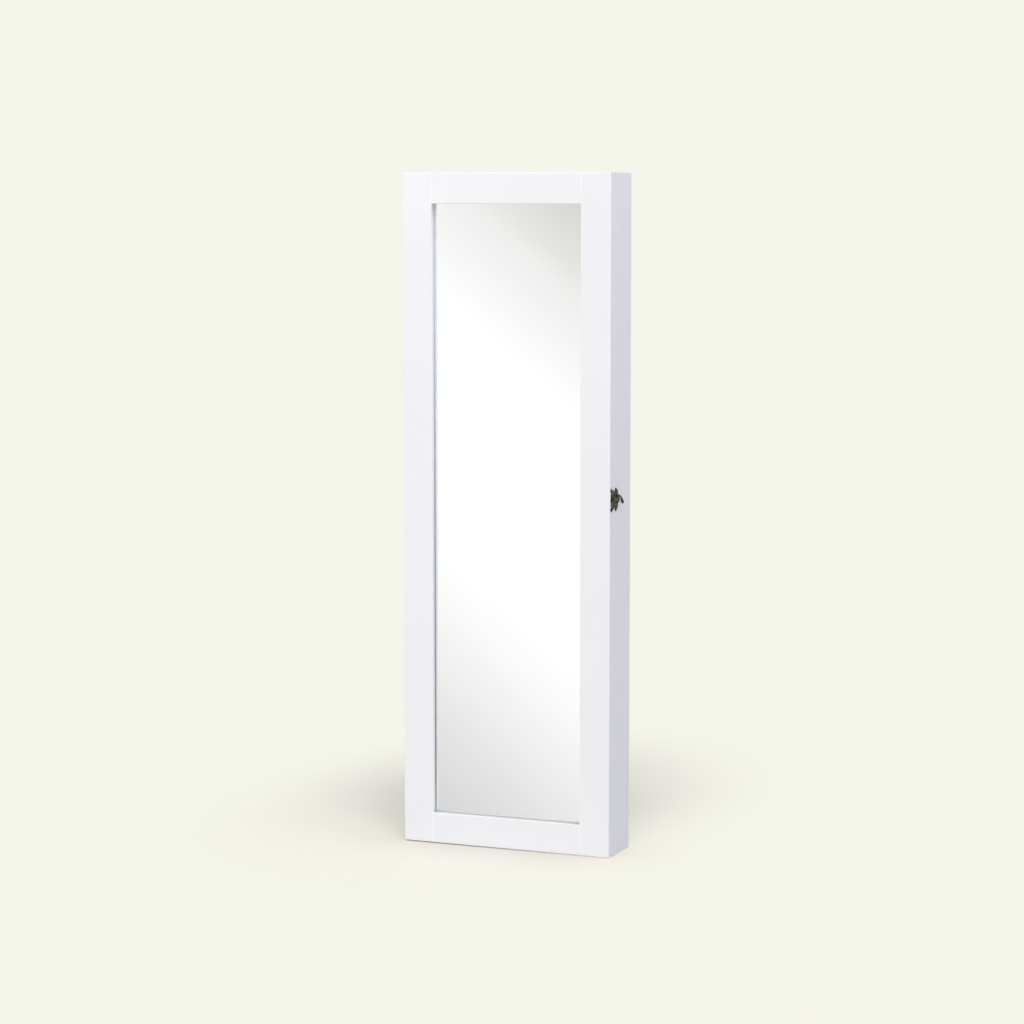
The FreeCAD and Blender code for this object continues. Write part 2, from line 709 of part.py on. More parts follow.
def ring_roll(index):
    """Foam roll with a round front; the furrow between two rolls holds rings."""
    pitch = RING_BAY / RING_ROLL_COUNT
    low = RING_SHELF_TOP + index * pitch + RING_ROLL_GAP / 2
    high = low + pitch - RING_ROLL_GAP
    back = LINING_FRONT - SOFT_PLAY
    front = back - RING_ROLL_DEPTH
    shoulder = front + (high - low) / 2
    left = INNER_LEFT + RING_ROLL_SIDE_PLAY
    right = DIVIDER_LEFT - RING_ROLL_SIDE_PLAY
    outline = [
        line((left, back, low), (left, shoulder, low)),
        arc((left, shoulder, low), (left, front, (low + high) / 2), (left, shoulder, high)),
        line((left, shoulder, high), (left, back, high)),
        line((left, back, high), (left, back, low)),
    ]
    roll = Part.Face(Part.Wire(outline)).extrude(V(right - left, 0, 0))
    ends = [edge for edge in roll.Edges if isinstance(edge.Curve, Part.Circle)]
    ends += straight_edges(roll, lambda mid, way: along(way, Y_AXIS))
    return roll.makeFillet(RING_ROLL_END_ROUNDING, ends)


def earring_bar(z):
    reach = DADO - FIT
    strip = box(
        (DIVIDER_RIGHT - reach, INNER_RIGHT + reach),
        (EARRING_BAR_FRONT, EARRING_BAR_BACK),
        (z - EARRING_BAR_HEIGHT / 2, z + EARRING_BAR_HEIGHT / 2),
    )
    pairs = spread(DIVIDER_RIGHT + EARRING_END_MARGIN, INNER_RIGHT - EARRING_END_MARGIN, EARRING_PAIRS)
    half = EARRING_HOLE_SPACING / 2
    holes = [
        bar(EARRING_HOLE_RADIUS, (x, EARRING_BAR_FRONT - 1, z), (x, EARRING_BAR_BACK + 1, z))
        for middle in pairs
        for x in (middle - half, middle + half)
    ]
    return strip.cut(holes)


def rod_cup(wall, inward):
    """Flange and open-topped cup that one end of the bracelet rod drops into."""
    face = wall + inward * CUP_FLANGE_THICKNESS
    mouth = face + inward * CUP_LENGTH
    flange = bar(CUP_FLANGE_RADIUS, (wall, ROD_Y, ROD_Z), (face, ROD_Y, ROD_Z))
    cup = bar(CUP_OUTER, (face, ROD_Y, ROD_Z), (mouth, ROD_Y, ROD_Z))
    bore = bar(CUP_INNER, (face, ROD_Y, ROD_Z), (mouth, ROD_Y, ROD_Z))
    way_out = box(
        sorted((face, mouth)),
        (ROD_Y - CUP_INNER, ROD_Y + CUP_INNER),
        (ROD_Z, ROD_Z + CUP_OUTER),
    )
    return fuse([flange, cup.cut([bore, way_out])]).cut(cup_screw_holes())


def build_fittings():
    keep("hook_rail", hook_rail())
    keep("necklace_hooks", *[necklace_hook(x) for x in hook_places()])
    rail_screws = [countersunk_screw(RAIL_SCREW, head, (0, 1, 0)) for head in rail_screw_heads()]
    keep("hook_rail_screws", *rail_screws)
    keep("ring_rolls", *[ring_roll(index) for index in range(RING_ROLL_COUNT)])
    for number, z in enumerate(earring_bar_heights(), 1):
        keep(f"earring_bar_{number}", earring_bar(z))
    keep("bracelet_rod_cups", rod_cup(INNER_LEFT, 1), rod_cup(INNER_RIGHT, -1))
    keep("rod_cup_screws", *[countersunk_screw(CUP_SCREW, *place) for place in cup_screws()])
    rod_end = INNER_RIGHT - CUP_FLANGE_THICKNESS - ROD_END_PLAY
    keep("bracelet_rod", bar(ROD_RADIUS, (-rod_end, ROD_Y, ROD_Z), (rod_end, ROD_Y, ROD_Z)))
    reach = GUARD_HOLE_DEPTH - FIT
    for name, z in GUARD_HEIGHTS.items():
        keep(name, bar(GUARD_RADIUS, (INNER_LEFT - reach, GUARD_Y, z), (INNER_RIGHT + reach, GUARD_Y, z)))


# ---------------------------------------------------------------- door


def rebate():
    """Recess behind the frame's lip that holds glass, backing and beads."""
    return box((REBATE_LEFT, REBATE_RIGHT), (GLASS_FRONT, DOOR_BACK), (REBATE_BOTTOM, REBATE_TOP))


def stile(inner, outer):
    """Upright of the door frame, over the door's whole height."""
    upright = box(sorted((inner, outer)), (DOOR_FRONT, DOOR_BACK), (DOOR_BOTTOM, DOOR_TOP))

    def joint(mid, way):
        return along(way, Z_AXIS) and near(mid.y, DOOR_FRONT) and near(mid.x, inner)

    def rounded(mid, way):
        side = along(way, Z_AXIS) and near(mid.x, outer)
        return near(mid.y, DOOR_FRONT) and (side or along(way, X_AXIS))

    upright = upright.makeChamfer(JOINT_CHAMFER, straight_edges(upright, joint))
    upright = upright.makeFillet(EDGE_EASING, straight_edges(upright, rounded))
    tools = [rebate()] + frame_dowels(DOWEL_RADIUS + FIT, FIT) + brad_holes()
    if outer == LEFT:
        tools += leaf_recesses(-1) + hinge_screw_holes(-1)
    else:
        tools += latch_pin_holes(-1)
    return upright.cut(tools)


def frame_rail(inner, outer):
    """Cross-piece of the door frame, between the stiles."""
    rail = box((OPENING_LEFT, OPENING_RIGHT), (DOOR_FRONT, DOOR_BACK), sorted((inner, outer)))

    def joint(mid, way):
        return near(mid.y, DOOR_FRONT) and not near(mid.z, outer)

    def rounded(mid, way):
        return near(mid.y, DOOR_FRONT) and near(mid.z, outer)

    rail = rail.makeChamfer(JOINT_CHAMFER, straight_edges(rail, joint))
    rail = rail.makeFillet(EDGE_EASING, straight_edges(rail, rounded))
    return rail.cut([rebate()] + frame_dowels(DOWEL_RADIUS + FIT, FIT) + brad_holes())


def pane(front, rear):
    """Sheet that lies in the rebate."""
    return box(
        (REBATE_LEFT + GLASS_PLAY, REBATE_RIGHT - GLASS_PLAY),
        (front, rear),
        (REBATE_BOTTOM + GLASS_PLAY, REBATE_TOP - GLASS_PLAY),
    )


def door_lining():
    """Velvet-covered card on the backing, between the beads."""
    return box(
        (OPENING_LEFT + LINING_MARGIN, OPENING_RIGHT - LINING_MARGIN),
        (BACKING_REAR, BACKING_REAR + DOOR_LINING),
        (OPENING_BOTTOM + LINING_MARGIN, OPENING_TOP - LINING_MARGIN),
    )


def bead(x, z, facing):
    """Strip that holds the mirror in its rebate, chamfered along its edge at the opening."""
    strip = box(x, (BACKING_REAR, DOOR_BACK), z)

    def at_opening(mid, way):
        edge_place = mid.x if along(way, Z_AXIS) else mid.z
        return near(mid.y, DOOR_BACK) and near(edge_place, facing)

    strip = strip.makeChamfer(BEAD_CHAMFER, straight_edges(strip, at_opening))
    return strip.cut(brad_holes())


def build_door():
    keep("left_stile", stile(OPENING_LEFT, LEFT))
    keep("right_stile", stile(OPENING_RIGHT, RIGHT))
    keep("bottom_rail", frame_rail(OPENING_BOTTOM, DOOR_BOTTOM))
    keep("top_rail", frame_rail(OPENING_TOP, DOOR_TOP))
    keep("frame_dowels", *frame_dowels(DOWEL_RADIUS))
    keep("mirror_glass", pane(GLASS_FRONT, GLASS_REAR))
    keep("mirror_backing", pane(GLASS_REAR, BACKING_REAR))
    keep("door_lining", door_lining())
    upright = (REBATE_BOTTOM, REBATE_TOP)
    across = (OPENING_LEFT, OPENING_RIGHT)
    keep("mirror_bead_left", bead((REBATE_LEFT, OPENING_LEFT), upright, OPENING_LEFT))
    keep("mirror_bead_right", bead((OPENING_RIGHT, REBATE_RIGHT), upright, OPENING_RIGHT))
    keep("mirror_bead_bottom", bead(across, (REBATE_BOTTOM, OPENING_BOTTOM), OPENING_BOTTOM))
    keep("mirror_bead_top", bead(across, (OPENING_TOP, REBATE_TOP), OPENING_TOP))
    keep("bead_brads", *bead_brads(BRAD_RADIUS))


# ---------------------------------------------------------------- hinges


def knuckle_ends(height, index):
    """Lower and upper end of a knuckle; the barrel's own ends have no play."""
    pitch = HINGE_LENGTH / KNUCKLE_COUNT
    low = height - HINGE_LENGTH / 2 + index * pitch
    high = low + pitch
    if index > 0:
        low += KNUCKLE_PLAY
    if index < KNUCKLE_COUNT - 1:
        high -= KNUCKLE_PLAY
    return low, high


def hinge_leaf(height, side):
    """Leaf with its knuckles: the case (side 1) has the even ones, the door (side -1) the odd."""
    low, high = height - HINGE_LENGTH / 2, height + HINGE_LENGTH / 2
    thickness = sorted((SEAM + side * LEAF_SPLIT, SEAM + side * (LEAF_SPLIT + LEAF_THICKNESS)))
    plate = box((PIN_X, LEAF_EDGE), thickness, (low, high))
    corners = straight_edges(plate, lambda mid, way: along(way, Y_AXIS) and near(mid.x, LEAF_EDGE))
    plate = plate.makeFillet(LEAF_CORNER, corners)
    notch_radius = KNUCKLE_RADIUS + KNUCKLE_NOTCH_PLAY
    end_play = 2 * KNUCKLE_PLAY
    first_own = 0 if side > 0 else 1
    own, notches = [], []
    for index in range(KNUCKLE_COUNT):
        start, end = knuckle_ends(height, index)
        if index % 2 == first_own:
            own.append(bar(KNUCKLE_RADIUS, (PIN_X, SEAM, start), (PIN_X, SEAM, end)))
        else:
            notches.append(bar(notch_radius, (PIN_X, SEAM, start - end_play), (PIN_X, SEAM, end + end_play)))
    bore_radius = PIN_RADIUS + (PIN_PRESS_PLAY if side > 0 else PIN_RUNNING_PLAY)
    bore = bar(bore_radius, (PIN_X, SEAM, low), (PIN_X, SEAM, high))
    return fuse([plate.cut(notches)] + own).cut([bore] + hinge_screw_holes(side))


def hinge_pin(height):
    """Pin with a low round head at each end of the barrel."""
    low, high = height - HINGE_LENGTH / 2, height + HINGE_LENGTH / 2
    return fuse(
        [
            bar(PIN_RADIUS, (PIN_X, SEAM, low), (PIN_X, SEAM, high)),
            dome(PIN_HEAD, (PIN_X, SEAM, high), (0, 0, 1)),
            dome(PIN_HEAD, (PIN_X, SEAM, low), (0, 0, -1)),
        ]
    )


def build_hinges():
    for name, height in HINGE_HEIGHTS.items():
        keep(f"{name}_hinge_case_leaf", hinge_leaf(height, 1))
        keep(f"{name}_hinge_door_leaf", hinge_leaf(height, -1))
    keep("hinge_pins", *[hinge_pin(height) for height in HINGE_HEIGHTS.values()])
    keep("hinge_case_screws", *[countersunk_screw(HINGE_SCREW, *place) for place in hinge_screws(1)])
    keep("hinge_door_screws", *[countersunk_screw(HINGE_SCREW, *place) for place in hinge_screws(-1)])


# ---------------------------------------------------------------- latch


def latch_disc(side, distance, rise, radius, low, high):
    """Disc on the cabinet's right side, from x = low to x = high."""
    y, z = latch_point(side, distance, rise)
    return bar(radius, (low, y, z), (high, y, z))


def mirrored(places):
    """Places above the latch's middle, and their copies below it."""
    return [(distance, sign * rise, radius) for distance, rise, radius in places for sign in (1, -1)]


def latch_plate(side, lobes):
    """Scalloped plate with rimmed piercings."""
    width, half_height = LATCH_CORE
    edge, low = latch_point(side, 0.0, -half_height)
    rear, high = latch_point(side, width, half_height)
    core = box((RIGHT, PLATE_TOP), sorted((edge, rear)), (low, high))
    plate = fuse([core] + [latch_disc(side, *lobe, RIGHT, PLATE_TOP) for lobe in mirrored(lobes)])
    rim_top = PLATE_TOP + LATCH_RELIEF
    rims, holes = [], []
    for distance, rise, radius in mirrored(LATCH_PIERCINGS):
        rims.append(latch_disc(side, distance, rise, radius + LATCH_RIM, RIGHT, rim_top))
        holes.append(latch_disc(side, distance, rise, radius, RIGHT - 1, rim_top + 1))
    return fuse([plate] + rims).cut(holes + latch_pin_holes(side))


def door_plate():
    """Plate on the door with the headed post that the hook drops over."""
    post = bar(LATCH_POST_RADIUS, (RIGHT, POST_Y, LATCH_HEIGHT), (HEAD_UNDER, POST_Y, LATCH_HEIGHT))
    head = dome(LATCH_POST_HEAD, (HEAD_UNDER, POST_Y, LATCH_HEIGHT), (1, 0, 0))
    return fuse([latch_plate(-1, DOOR_PLATE_LOBES), post, head])


def case_plate():
    """Plate on the case with the boss that the hook turns on."""
    radius, _ = LATCH_BOSS
    boss = bar(radius, (RIGHT, PIVOT_Y, LATCH_HEIGHT), (BOSS_TOP, PIVOT_Y, LATCH_HEIGHT))
    return fuse([latch_plate(1, CASE_PLATE_LOBES), boss]).cut(rivet_hole())


def latch_pins(side):
    """Round-headed pins that hold a latch plate."""
    return [
        fuse(
            [
                bar(LATCH_PIN_RADIUS, (RIGHT - LATCH_PIN_LENGTH, y, z), (PLATE_TOP, y, z)),
                dome(LATCH_PIN_HEAD, (PLATE_TOP, y, z), (1, 0, 0)),
            ]
        )
        for y, z in latch_pin_points(side)
    ]


def latch_rivet():
    shaft = bar(
        LATCH_RIVET_RADIUS,
        (RIGHT - LATCH_RIVET_DEPTH, PIVOT_Y, LATCH_HEIGHT),
        (HEAD_UNDER, PIVOT_Y, LATCH_HEIGHT),
    )
    return fuse([shaft, dome(LATCH_RIVET_HEAD, (HEAD_UNDER, PIVOT_Y, LATCH_HEIGHT), (1, 0, 0))])


def on_hook(offset, rise):
    """Point of the hook's underside; offset is its distance behind the middle of the door gap."""
    return (HOOK_UNDER, SEAM + offset, LATCH_HEIGHT + rise)


def hook_arm():
    """Arm from the pivot to a jaw that goes over the post and down in front of it."""
    crown = NOTCH_RADIUS + LATCH_JAW
    slant = crown * math.sqrt(0.5)
    post, pivot = -LATCH_SPAN, LATCH_SPAN
    front, rear, nose = post - NOTCH_RADIUS, post + NOTCH_RADIUS, post - crown
    waist_top, waist_bottom = LATCH_WAIST
    tip = on_hook((front + nose) / 2, -LATCH_NOSE_DROP - LATCH_JAW / 2)
    outline = [
        line(on_hook(nose, -LATCH_NOSE_DROP), on_hook(nose, 0)),
        arc(on_hook(nose, 0), on_hook(post - slant, slant), on_hook(post, crown)),
        arc(on_hook(post, crown), on_hook(0, waist_top), on_hook(pivot, LATCH_HUB_RADIUS)),
        line(on_hook(pivot, LATCH_HUB_RADIUS), on_hook(pivot, -LATCH_HUB_RADIUS)),
        arc(on_hook(pivot, -LATCH_HUB_RADIUS), on_hook(0, -waist_bottom), on_hook(rear, -LATCH_HEEL)),
        line(on_hook(rear, -LATCH_HEEL), on_hook(rear, 0)),
        arc(on_hook(rear, 0), on_hook(post, NOTCH_RADIUS), on_hook(front, 0)),
        line(on_hook(front, 0), on_hook(front, -LATCH_NOSE_DROP)),
        arc(on_hook(front, -LATCH_NOSE_DROP), tip, on_hook(nose, -LATCH_NOSE_DROP)),
    ]
    return Part.Face(Part.Wire(outline)).extrude(V(LATCH_HOOK_THICKNESS, 0, 0))


def hook_tail():
    """Curled tail behind the pivot, and the ball that a finger lifts."""
    middle = LATCH_SPAN + LATCH_TAIL_RADIUS
    inner = LATCH_TAIL_RADIUS - LATCH_TAIL_WIDTH / 2
    outer = LATCH_TAIL_RADIUS + LATCH_TAIL_WIDTH / 2
    start, end = (math.radians(angle) for angle in LATCH_TAIL_ANGLES)
    half = (start + end) / 2

    def at(radius, angle):
        return on_hook(middle + radius * math.cos(angle), radius * math.sin(angle))

    outline = [
        arc(at(outer, start), at(outer, half), at(outer, end)),
        line(at(outer, end), at(inner, end)),
        arc(at(inner, end), at(inner, half), at(inner, start)),
        line(at(inner, start), at(outer, start)),
    ]
    curl = Part.Face(Part.Wire(outline)).extrude(V(LATCH_HOOK_THICKNESS, 0, 0))
    ball = Part.makeSphere(LATCH_GRIP_RADIUS, V(*at(LATCH_TAIL_RADIUS, start)))
    ball.translate(V(LATCH_HOOK_THICKNESS / 2 + LATCH_GRIP_RAISE, 0, 0))
    return [curl, ball]


def latch_hook():
    hub = bar(
        LATCH_HUB_RADIUS,
        (HOOK_UNDER, PIVOT_Y, LATCH_HEIGHT),
        (HOOK_OVER, PIVOT_Y, LATCH_HEIGHT),
    )
    return fuse([hub, hook_arm()] + hook_tail()).cut(rivet_hole())


def build_latch():
    keep("latch_door_plate", door_plate())
    keep("latch_case_plate", case_plate())
    keep("latch_door_pins", *latch_pins(-1))
    keep("latch_case_pins", *latch_pins(1))
    keep("latch_rivet", latch_rivet())
    keep("latch_hook", latch_hook())


# ---------------------------------------------------------------- model

build_case()
build_fittings()
build_door()
build_hinges()
build_latch()

os.makedirs("parts", exist_ok=True)
for node_name, node_shape in nodes.items():
    node_shape.exportStep(f"parts/{node_name}.step")
print(len(nodes), "nodes")
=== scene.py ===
import json
import math

import bmesh
import bpy
import numpy as np
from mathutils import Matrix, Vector, noise


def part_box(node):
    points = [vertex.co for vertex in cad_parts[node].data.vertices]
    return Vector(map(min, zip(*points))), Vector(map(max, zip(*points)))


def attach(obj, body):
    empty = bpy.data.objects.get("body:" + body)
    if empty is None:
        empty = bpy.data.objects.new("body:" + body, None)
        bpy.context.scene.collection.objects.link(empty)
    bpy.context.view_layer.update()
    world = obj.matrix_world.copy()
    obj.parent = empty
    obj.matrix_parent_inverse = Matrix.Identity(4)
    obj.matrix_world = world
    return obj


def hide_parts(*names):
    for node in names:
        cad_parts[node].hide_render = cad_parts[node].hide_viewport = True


# Looks for the jewellery cabinet with a mirror door, in metres and in the frame of the packed
# model: X across the door, +Y towards the wall, Z up.

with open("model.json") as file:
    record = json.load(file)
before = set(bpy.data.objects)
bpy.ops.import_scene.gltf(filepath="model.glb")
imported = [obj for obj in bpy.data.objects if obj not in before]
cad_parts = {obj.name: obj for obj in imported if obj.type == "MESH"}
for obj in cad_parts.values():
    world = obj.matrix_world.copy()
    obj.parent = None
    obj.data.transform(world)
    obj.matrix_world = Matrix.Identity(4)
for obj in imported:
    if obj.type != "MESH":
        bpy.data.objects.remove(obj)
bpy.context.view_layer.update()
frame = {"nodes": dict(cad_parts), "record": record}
nodes = frame["nodes"]
scene = bpy.context.scene
MM = 0.001
TO_MM = 1000  # from metres: the latch is cast in millimetres

# ---------------------------------------------------------------- camera

CAMERA_PLACE = (1.774, -4.377, 1.066)
CAMERA_YAW = math.radians(22.15)
CAMERA_PITCH = math.radians(-6.23)
CAMERA_LENS = 102.47  # mm
SENSOR_WIDTH = 36  # mm
CAMERA_REACH = 200

camera = bpy.data.objects.new("camera", bpy.data.cameras.new("camera"))
camera.location = CAMERA_PLACE
camera.rotation_euler = (math.pi / 2 + CAMERA_PITCH, 0, CAMERA_YAW)
camera.data.lens = CAMERA_LENS
camera.data.sensor_width = SENSOR_WIDTH
camera.data.clip_end = CAMERA_REACH
scene.collection.objects.link(camera)
scene.camera = camera

# ---------------------------------------------------------------- materials


class Nodes:
    """A node tree that is built by a few short calls."""

    def __init__(self, tree):
        self.tree = tree

    def add(self, kind, inputs=(), **settings):
        """Adds a node; inputs maps socket names or numbers to values or to other nodes' outputs."""
        node = self.tree.nodes.new("ShaderNode" + kind)
        for name, value in settings.items():
            setattr(node, name, value)
        for name, value in dict(inputs).items():
            self.put(value, node.inputs[name])
        return node

    def put(self, value, socket):
        """Links another node's output to a socket, or sets the socket to a value."""
        if isinstance(value, bpy.types.NodeSocket):
            self.tree.links.new(value, socket)
        else:
            socket.default_value = value

    def math(self, operation, *values, clamp=False):
        node = self.add("Math", dict(enumerate(values)), operation=operation, use_clamp=clamp)
        return node.outputs[0]

    def axis(self, vector, name):
        """One coordinate of a vector: X, Y or Z."""
        return self.add("SeparateXYZ", {"Vector": vector}).outputs[name]

    def ramp(self, factor, *stops):
        """Colour ramp; each stop is (position, (r, g, b))."""
        node = self.add("ValToRGB", {"Fac": factor})
        elements = node.color_ramp.elements
        while len(elements) < len(stops):
            elements.new(1.0)
        for element, (position, colour) in zip(elements, stops):
            element.position = position
            element.color = (*colour, 1.0)
        return node.outputs["Color"]

    def mix(self, factor, first, second, blend="MIX"):
        inputs = {"Fac": factor, "Color1": first, "Color2": second}
        return self.add("MixRGB", inputs, blend_type=blend).outputs["Color"]

    def remap(self, value, start, end, low=0.0, high=1.0, smooth=False):
        """Maps start..end to low..high, and stays between these."""
        inputs = {"Value": value, "From Min": start, "From Max": end, "To Min": low, "To Max": high}
        kind = "SMOOTHSTEP" if smooth else "LINEAR"
        return self.add("MapRange", inputs, interpolation_type=kind).outputs["Result"]

    def range(self, value, low, high):
        """Maps 0..1 to low..high."""
        return self.remap(value, 0.0, 1.0, low, high)

    def open_sky(self, reach):
        """1 where nothing stands within reach of the surface, and less in corners."""
        return self.add("AmbientOcclusion", {"Distance": reach}, samples=8).outputs["AO"]


class Look(Nodes):
    """A procedural material in object coordinates, which are metres in the part's own frame."""

    def __init__(self, name, **constants):
        self.material = bpy.data.materials.new(name)
        self.material.use_nodes = True
        super().__init__(self.material.node_tree)
        self.shader = self.tree.nodes["Principled BSDF"]
        self.place = self.add("TexCoord").outputs["Object"]
        for name, value in constants.items():
            self.set(name.replace("_", " "), value)

    def set(self, socket, value):
        self.put(value, self.shader.inputs[socket])

    def noise(self, size, detail=2.0, roughness=0.5, stretch=(1, 1, 1), distortion=0.0):
        """Noise with features of about a size in metres, drawn out along each axis by stretch."""
        scale = tuple(1 / (size * factor) for factor in stretch)
        place = self.add("Mapping", {"Vector": self.place, "Scale": scale}).outputs["Vector"]
        inputs = {"Vector": place, "Scale": 1.0, "Detail": detail, "Roughness": roughness}
        return self.add("TexNoise", {**inputs, "Distortion": distortion}).outputs["Fac"]

    def bump(self, *layers):
        """Layers of (height output, depth in metres), coarse first."""
        normal = None
        for height, depth in layers:
            node = self.add("Bump", {"Height": height, "Distance": depth})
            if normal:
                self.put(normal, node.inputs["Normal"])
            normal = node.outputs["Normal"]
        self.set("Normal", normal)


GROOVE_HIGHLIGHT_HALF = 0.9 * MM  # half the width of the painted highlight along the door frame's joints
LEDGE_SHADE_REACH = 16.0 * MM  # how near a wall a ledge gets painted shade
LEDGE_SHADE_AMOUNT = 3.5


def painted_wood(name, grooves=()):
    """White satin paint, rolled on fibreboard, with painted shade on ledges close to a wall.

    Upright grooves at the given X get a painted highlight: a whiter line along each.
    """
    look = Look(name, IOR=1.45)
    drift = look.noise(0.14, 3)
    speck = look.noise(0.003, 2)
    tone = look.ramp(drift, (0.3, (0.868, 0.870, 0.874)), (0.7, (0.886, 0.887, 0.888)))
    paint = look.mix(look.range(speck, 0.0, 0.05), tone, (0.80, 0.80, 0.80, 1))
    # painted highlight: a whiter line along each groove
    for groove in grooves:
        groove_highlight = look.math("COMPARE", look.axis(look.place, "X"), groove, GROOVE_HIGHLIGHT_HALF)
        paint = look.mix(groove_highlight, paint, (0.95, 0.95, 0.95, 1))
    # painted shade: upward faces close to a wall are darkened towards grey
    corner = look.math("SUBTRACT", 1.0, look.open_sky(LEDGE_SHADE_REACH))
    upward = look.axis(look.add("NewGeometry").outputs["Normal"], "Z")
    ledge_shade = look.math("MULTIPLY", corner, upward, clamp=True)
    ledge_shade = look.math("MULTIPLY", ledge_shade, LEDGE_SHADE_AMOUNT, clamp=True)
    look.set("Base Color", look.mix(ledge_shade, paint, (0.45, 0.46, 0.46, 1)))
    look.set("Roughness", look.range(look.noise(0.02, 3), 0.36, 0.50))
    rolled = look.noise(0.0016, 2, 0.6)
    look.bump((look.noise(0.035, 2), 0.00005), (rolled, 0.00003))
    return look.material


def bare_wood():
    """Softwood with its grain along X."""
    look = Look("bare_wood", IOR=1.45)
    rings = look.noise(0.006, 3, 0.55, (40, 1, 1), 0.6)
    pores = look.noise(0.0007, 2, 0.6, (60, 1, 1))
    grain = look.ramp(
        rings, (0.3, (0.50, 0.34, 0.18)), (0.5, (0.66, 0.49, 0.29)), (0.72, (0.74, 0.58, 0.37))
    )
    look.set("Base Color", look.mix(look.range(pores, 0.0, 0.5), grain, (0.38, 0.25, 0.13, 1)))
    look.set("Roughness", look.range(pores, 0.55, 0.8))
    look.bump((rings, 0.00012), (pores, 0.00006))
    return look.material


def hardboard():
    """Pressed brown fibreboard."""
    look = Look("hardboard", IOR=1.4)
    cloud = look.noise(0.03, 4, 0.6)
    fibre = look.noise(0.0012, 3, 0.7, (1, 1, 4), 1.5)
    tone = look.ramp(cloud, (0.3, (0.17, 0.095, 0.048)), (0.7, (0.25, 0.15, 0.08)))
    look.set("Base Color", look.mix(look.range(fibre, 0.0, 0.6), tone, (0.10, 0.055, 0.03, 1)))
    look.set("Roughness", look.range(fibre, 0.5, 0.75))
    look.bump((fibre, 0.00012))
    return look.material


def velvet():
    """Black velvet: short pile with soft crushed patches."""
    look = Look("velvet", Roughness=0.92, Sheen_Weight=0.55, Sheen_Roughness=0.38, IOR=1.3)
    look.set("Sheen Tint", (0.62, 0.63, 0.68, 1))
    crush = look.noise(0.03, 4, 0.62, (1, 1, 1.8), 0.35)
    pile = look.noise(0.0009, 2, 0.7)
    tone = look.ramp(crush, (0.3, (0.009, 0.009, 0.011)), (0.7, (0.022, 0.022, 0.026)))
    look.set("Base Color", look.mix(look.range(pile, 0.0, 0.7), tone, (0.05, 0.05, 0.057, 1)))
    look.bump((crush, 0.0003), (pile, 0.0004))
    return look.material


def silver():
    """The mirror's silvering, seen through clear glass."""
    look = Look("mirror_silver", Metallic=1.0)
    haze = look.noise(0.09, 3)
    tone = look.ramp(haze, (0.3, (0.965, 0.972, 0.970)), (0.7, (0.975, 0.982, 0.980)))
    look.set("Base Color", tone)
    look.set("Roughness", look.range(haze, 0.004, 0.012))
    return look.material


EDGE_LIGHT = (
    (0.05, 0.55), (0.10, 0.31), (0.24, 0.33), (0.57, 0.52), (0.90, 0.90),
)  # height in m, and the painted light and shade on the glass's edge there


def glass_edge():
    """The glass's greenish thickness under the frame's lip, in painted light and shade: paler at
    the top and at the foot.
    """
    look = Look("glass_edge", IOR=1.5)
    streak = look.noise(0.004, 2, 0.5, (1, 1, 6))
    tone = look.ramp(streak, (0.3, (0.63, 0.74, 0.74)), (0.7, (0.76, 0.87, 0.87)))
    height = look.axis(look.place, "Z")
    # painted light and shade: the edge is darker or paler by height
    light = look.ramp(height, *((z, (share, share, share)) for z, share in EDGE_LIGHT))
    look.set("Base Color", look.mix(1.0, tone, light, "MULTIPLY"))
    look.set("Roughness", look.range(streak, 0.12, 0.25))
    return look.material


RUB_FROM = 0.518  # pointiness at which the patina starts to be rubbed off; 0.5 is flat


def bronze(name, wear, keenness, stretch=(1, 2, 1)):
    """Dark antique bronze, patinated in the hollows and rubbed on high spots.

    Wear brightens it, and a higher keenness takes finer spots for high ones.
    """
    look = Look(name, Metallic=0.85, IOR=1.5)
    patina = look.noise(0.0034, 3, 0.6, stretch)
    grain = look.noise(0.0006, 2, 0.6)
    body = look.ramp(
        patina,
        (0.38, (0.011, 0.010, 0.010)), (0.5, (0.055, 0.051, 0.042)), (0.62, (0.19, 0.18, 0.145)),
    )
    body = look.mix(1.0, body, (wear, wear, wear, 1), "MULTIPLY")
    pointed = look.add("NewGeometry").outputs["Pointiness"]
    rub = look.math("SUBTRACT", pointed, RUB_FROM)
    rub = look.math("MULTIPLY", rub, keenness, clamp=True)
    rub = look.math("MULTIPLY", rub, look.range(patina, 0.1 * wear, 1.1 * wear), clamp=True)
    look.set("Base Color", look.mix(rub, body, (0.36, 0.32, 0.23, 1)))
    look.set("Roughness", look.range(grain, 0.30, 0.58))
    look.bump((patina, 0.00012), (grain, 0.00004))
    return look.material


def steel():
    """Bright zinc-plated steel."""
    look = Look("zinc_steel", Metallic=1.0, IOR=1.5)
    spangle = look.noise(0.002, 3, 0.6)
    tone = look.ramp(spangle, (0.3, (0.48, 0.49, 0.50)), (0.7, (0.66, 0.66, 0.66)))
    look.set("Base Color", tone)
    look.set("Roughness", look.range(look.noise(0.0006), 0.24, 0.42))
    look.bump((spangle, 0.00003))
    return look.material


def bumper_rubber():
    """Soft milky rubber."""
    look = Look("bumper_rubber", IOR=1.45)
    cloud = look.noise(0.003)
    tone = look.ramp(cloud, (0.3, (0.62, 0.62, 0.60)), (0.7, (0.74, 0.74, 0.72)))
    look.set("Base Color", tone)
    look.set("Roughness", look.range(cloud, 0.35, 0.5))
    look.bump((look.noise(0.0008), 0.00003))
    return look.material


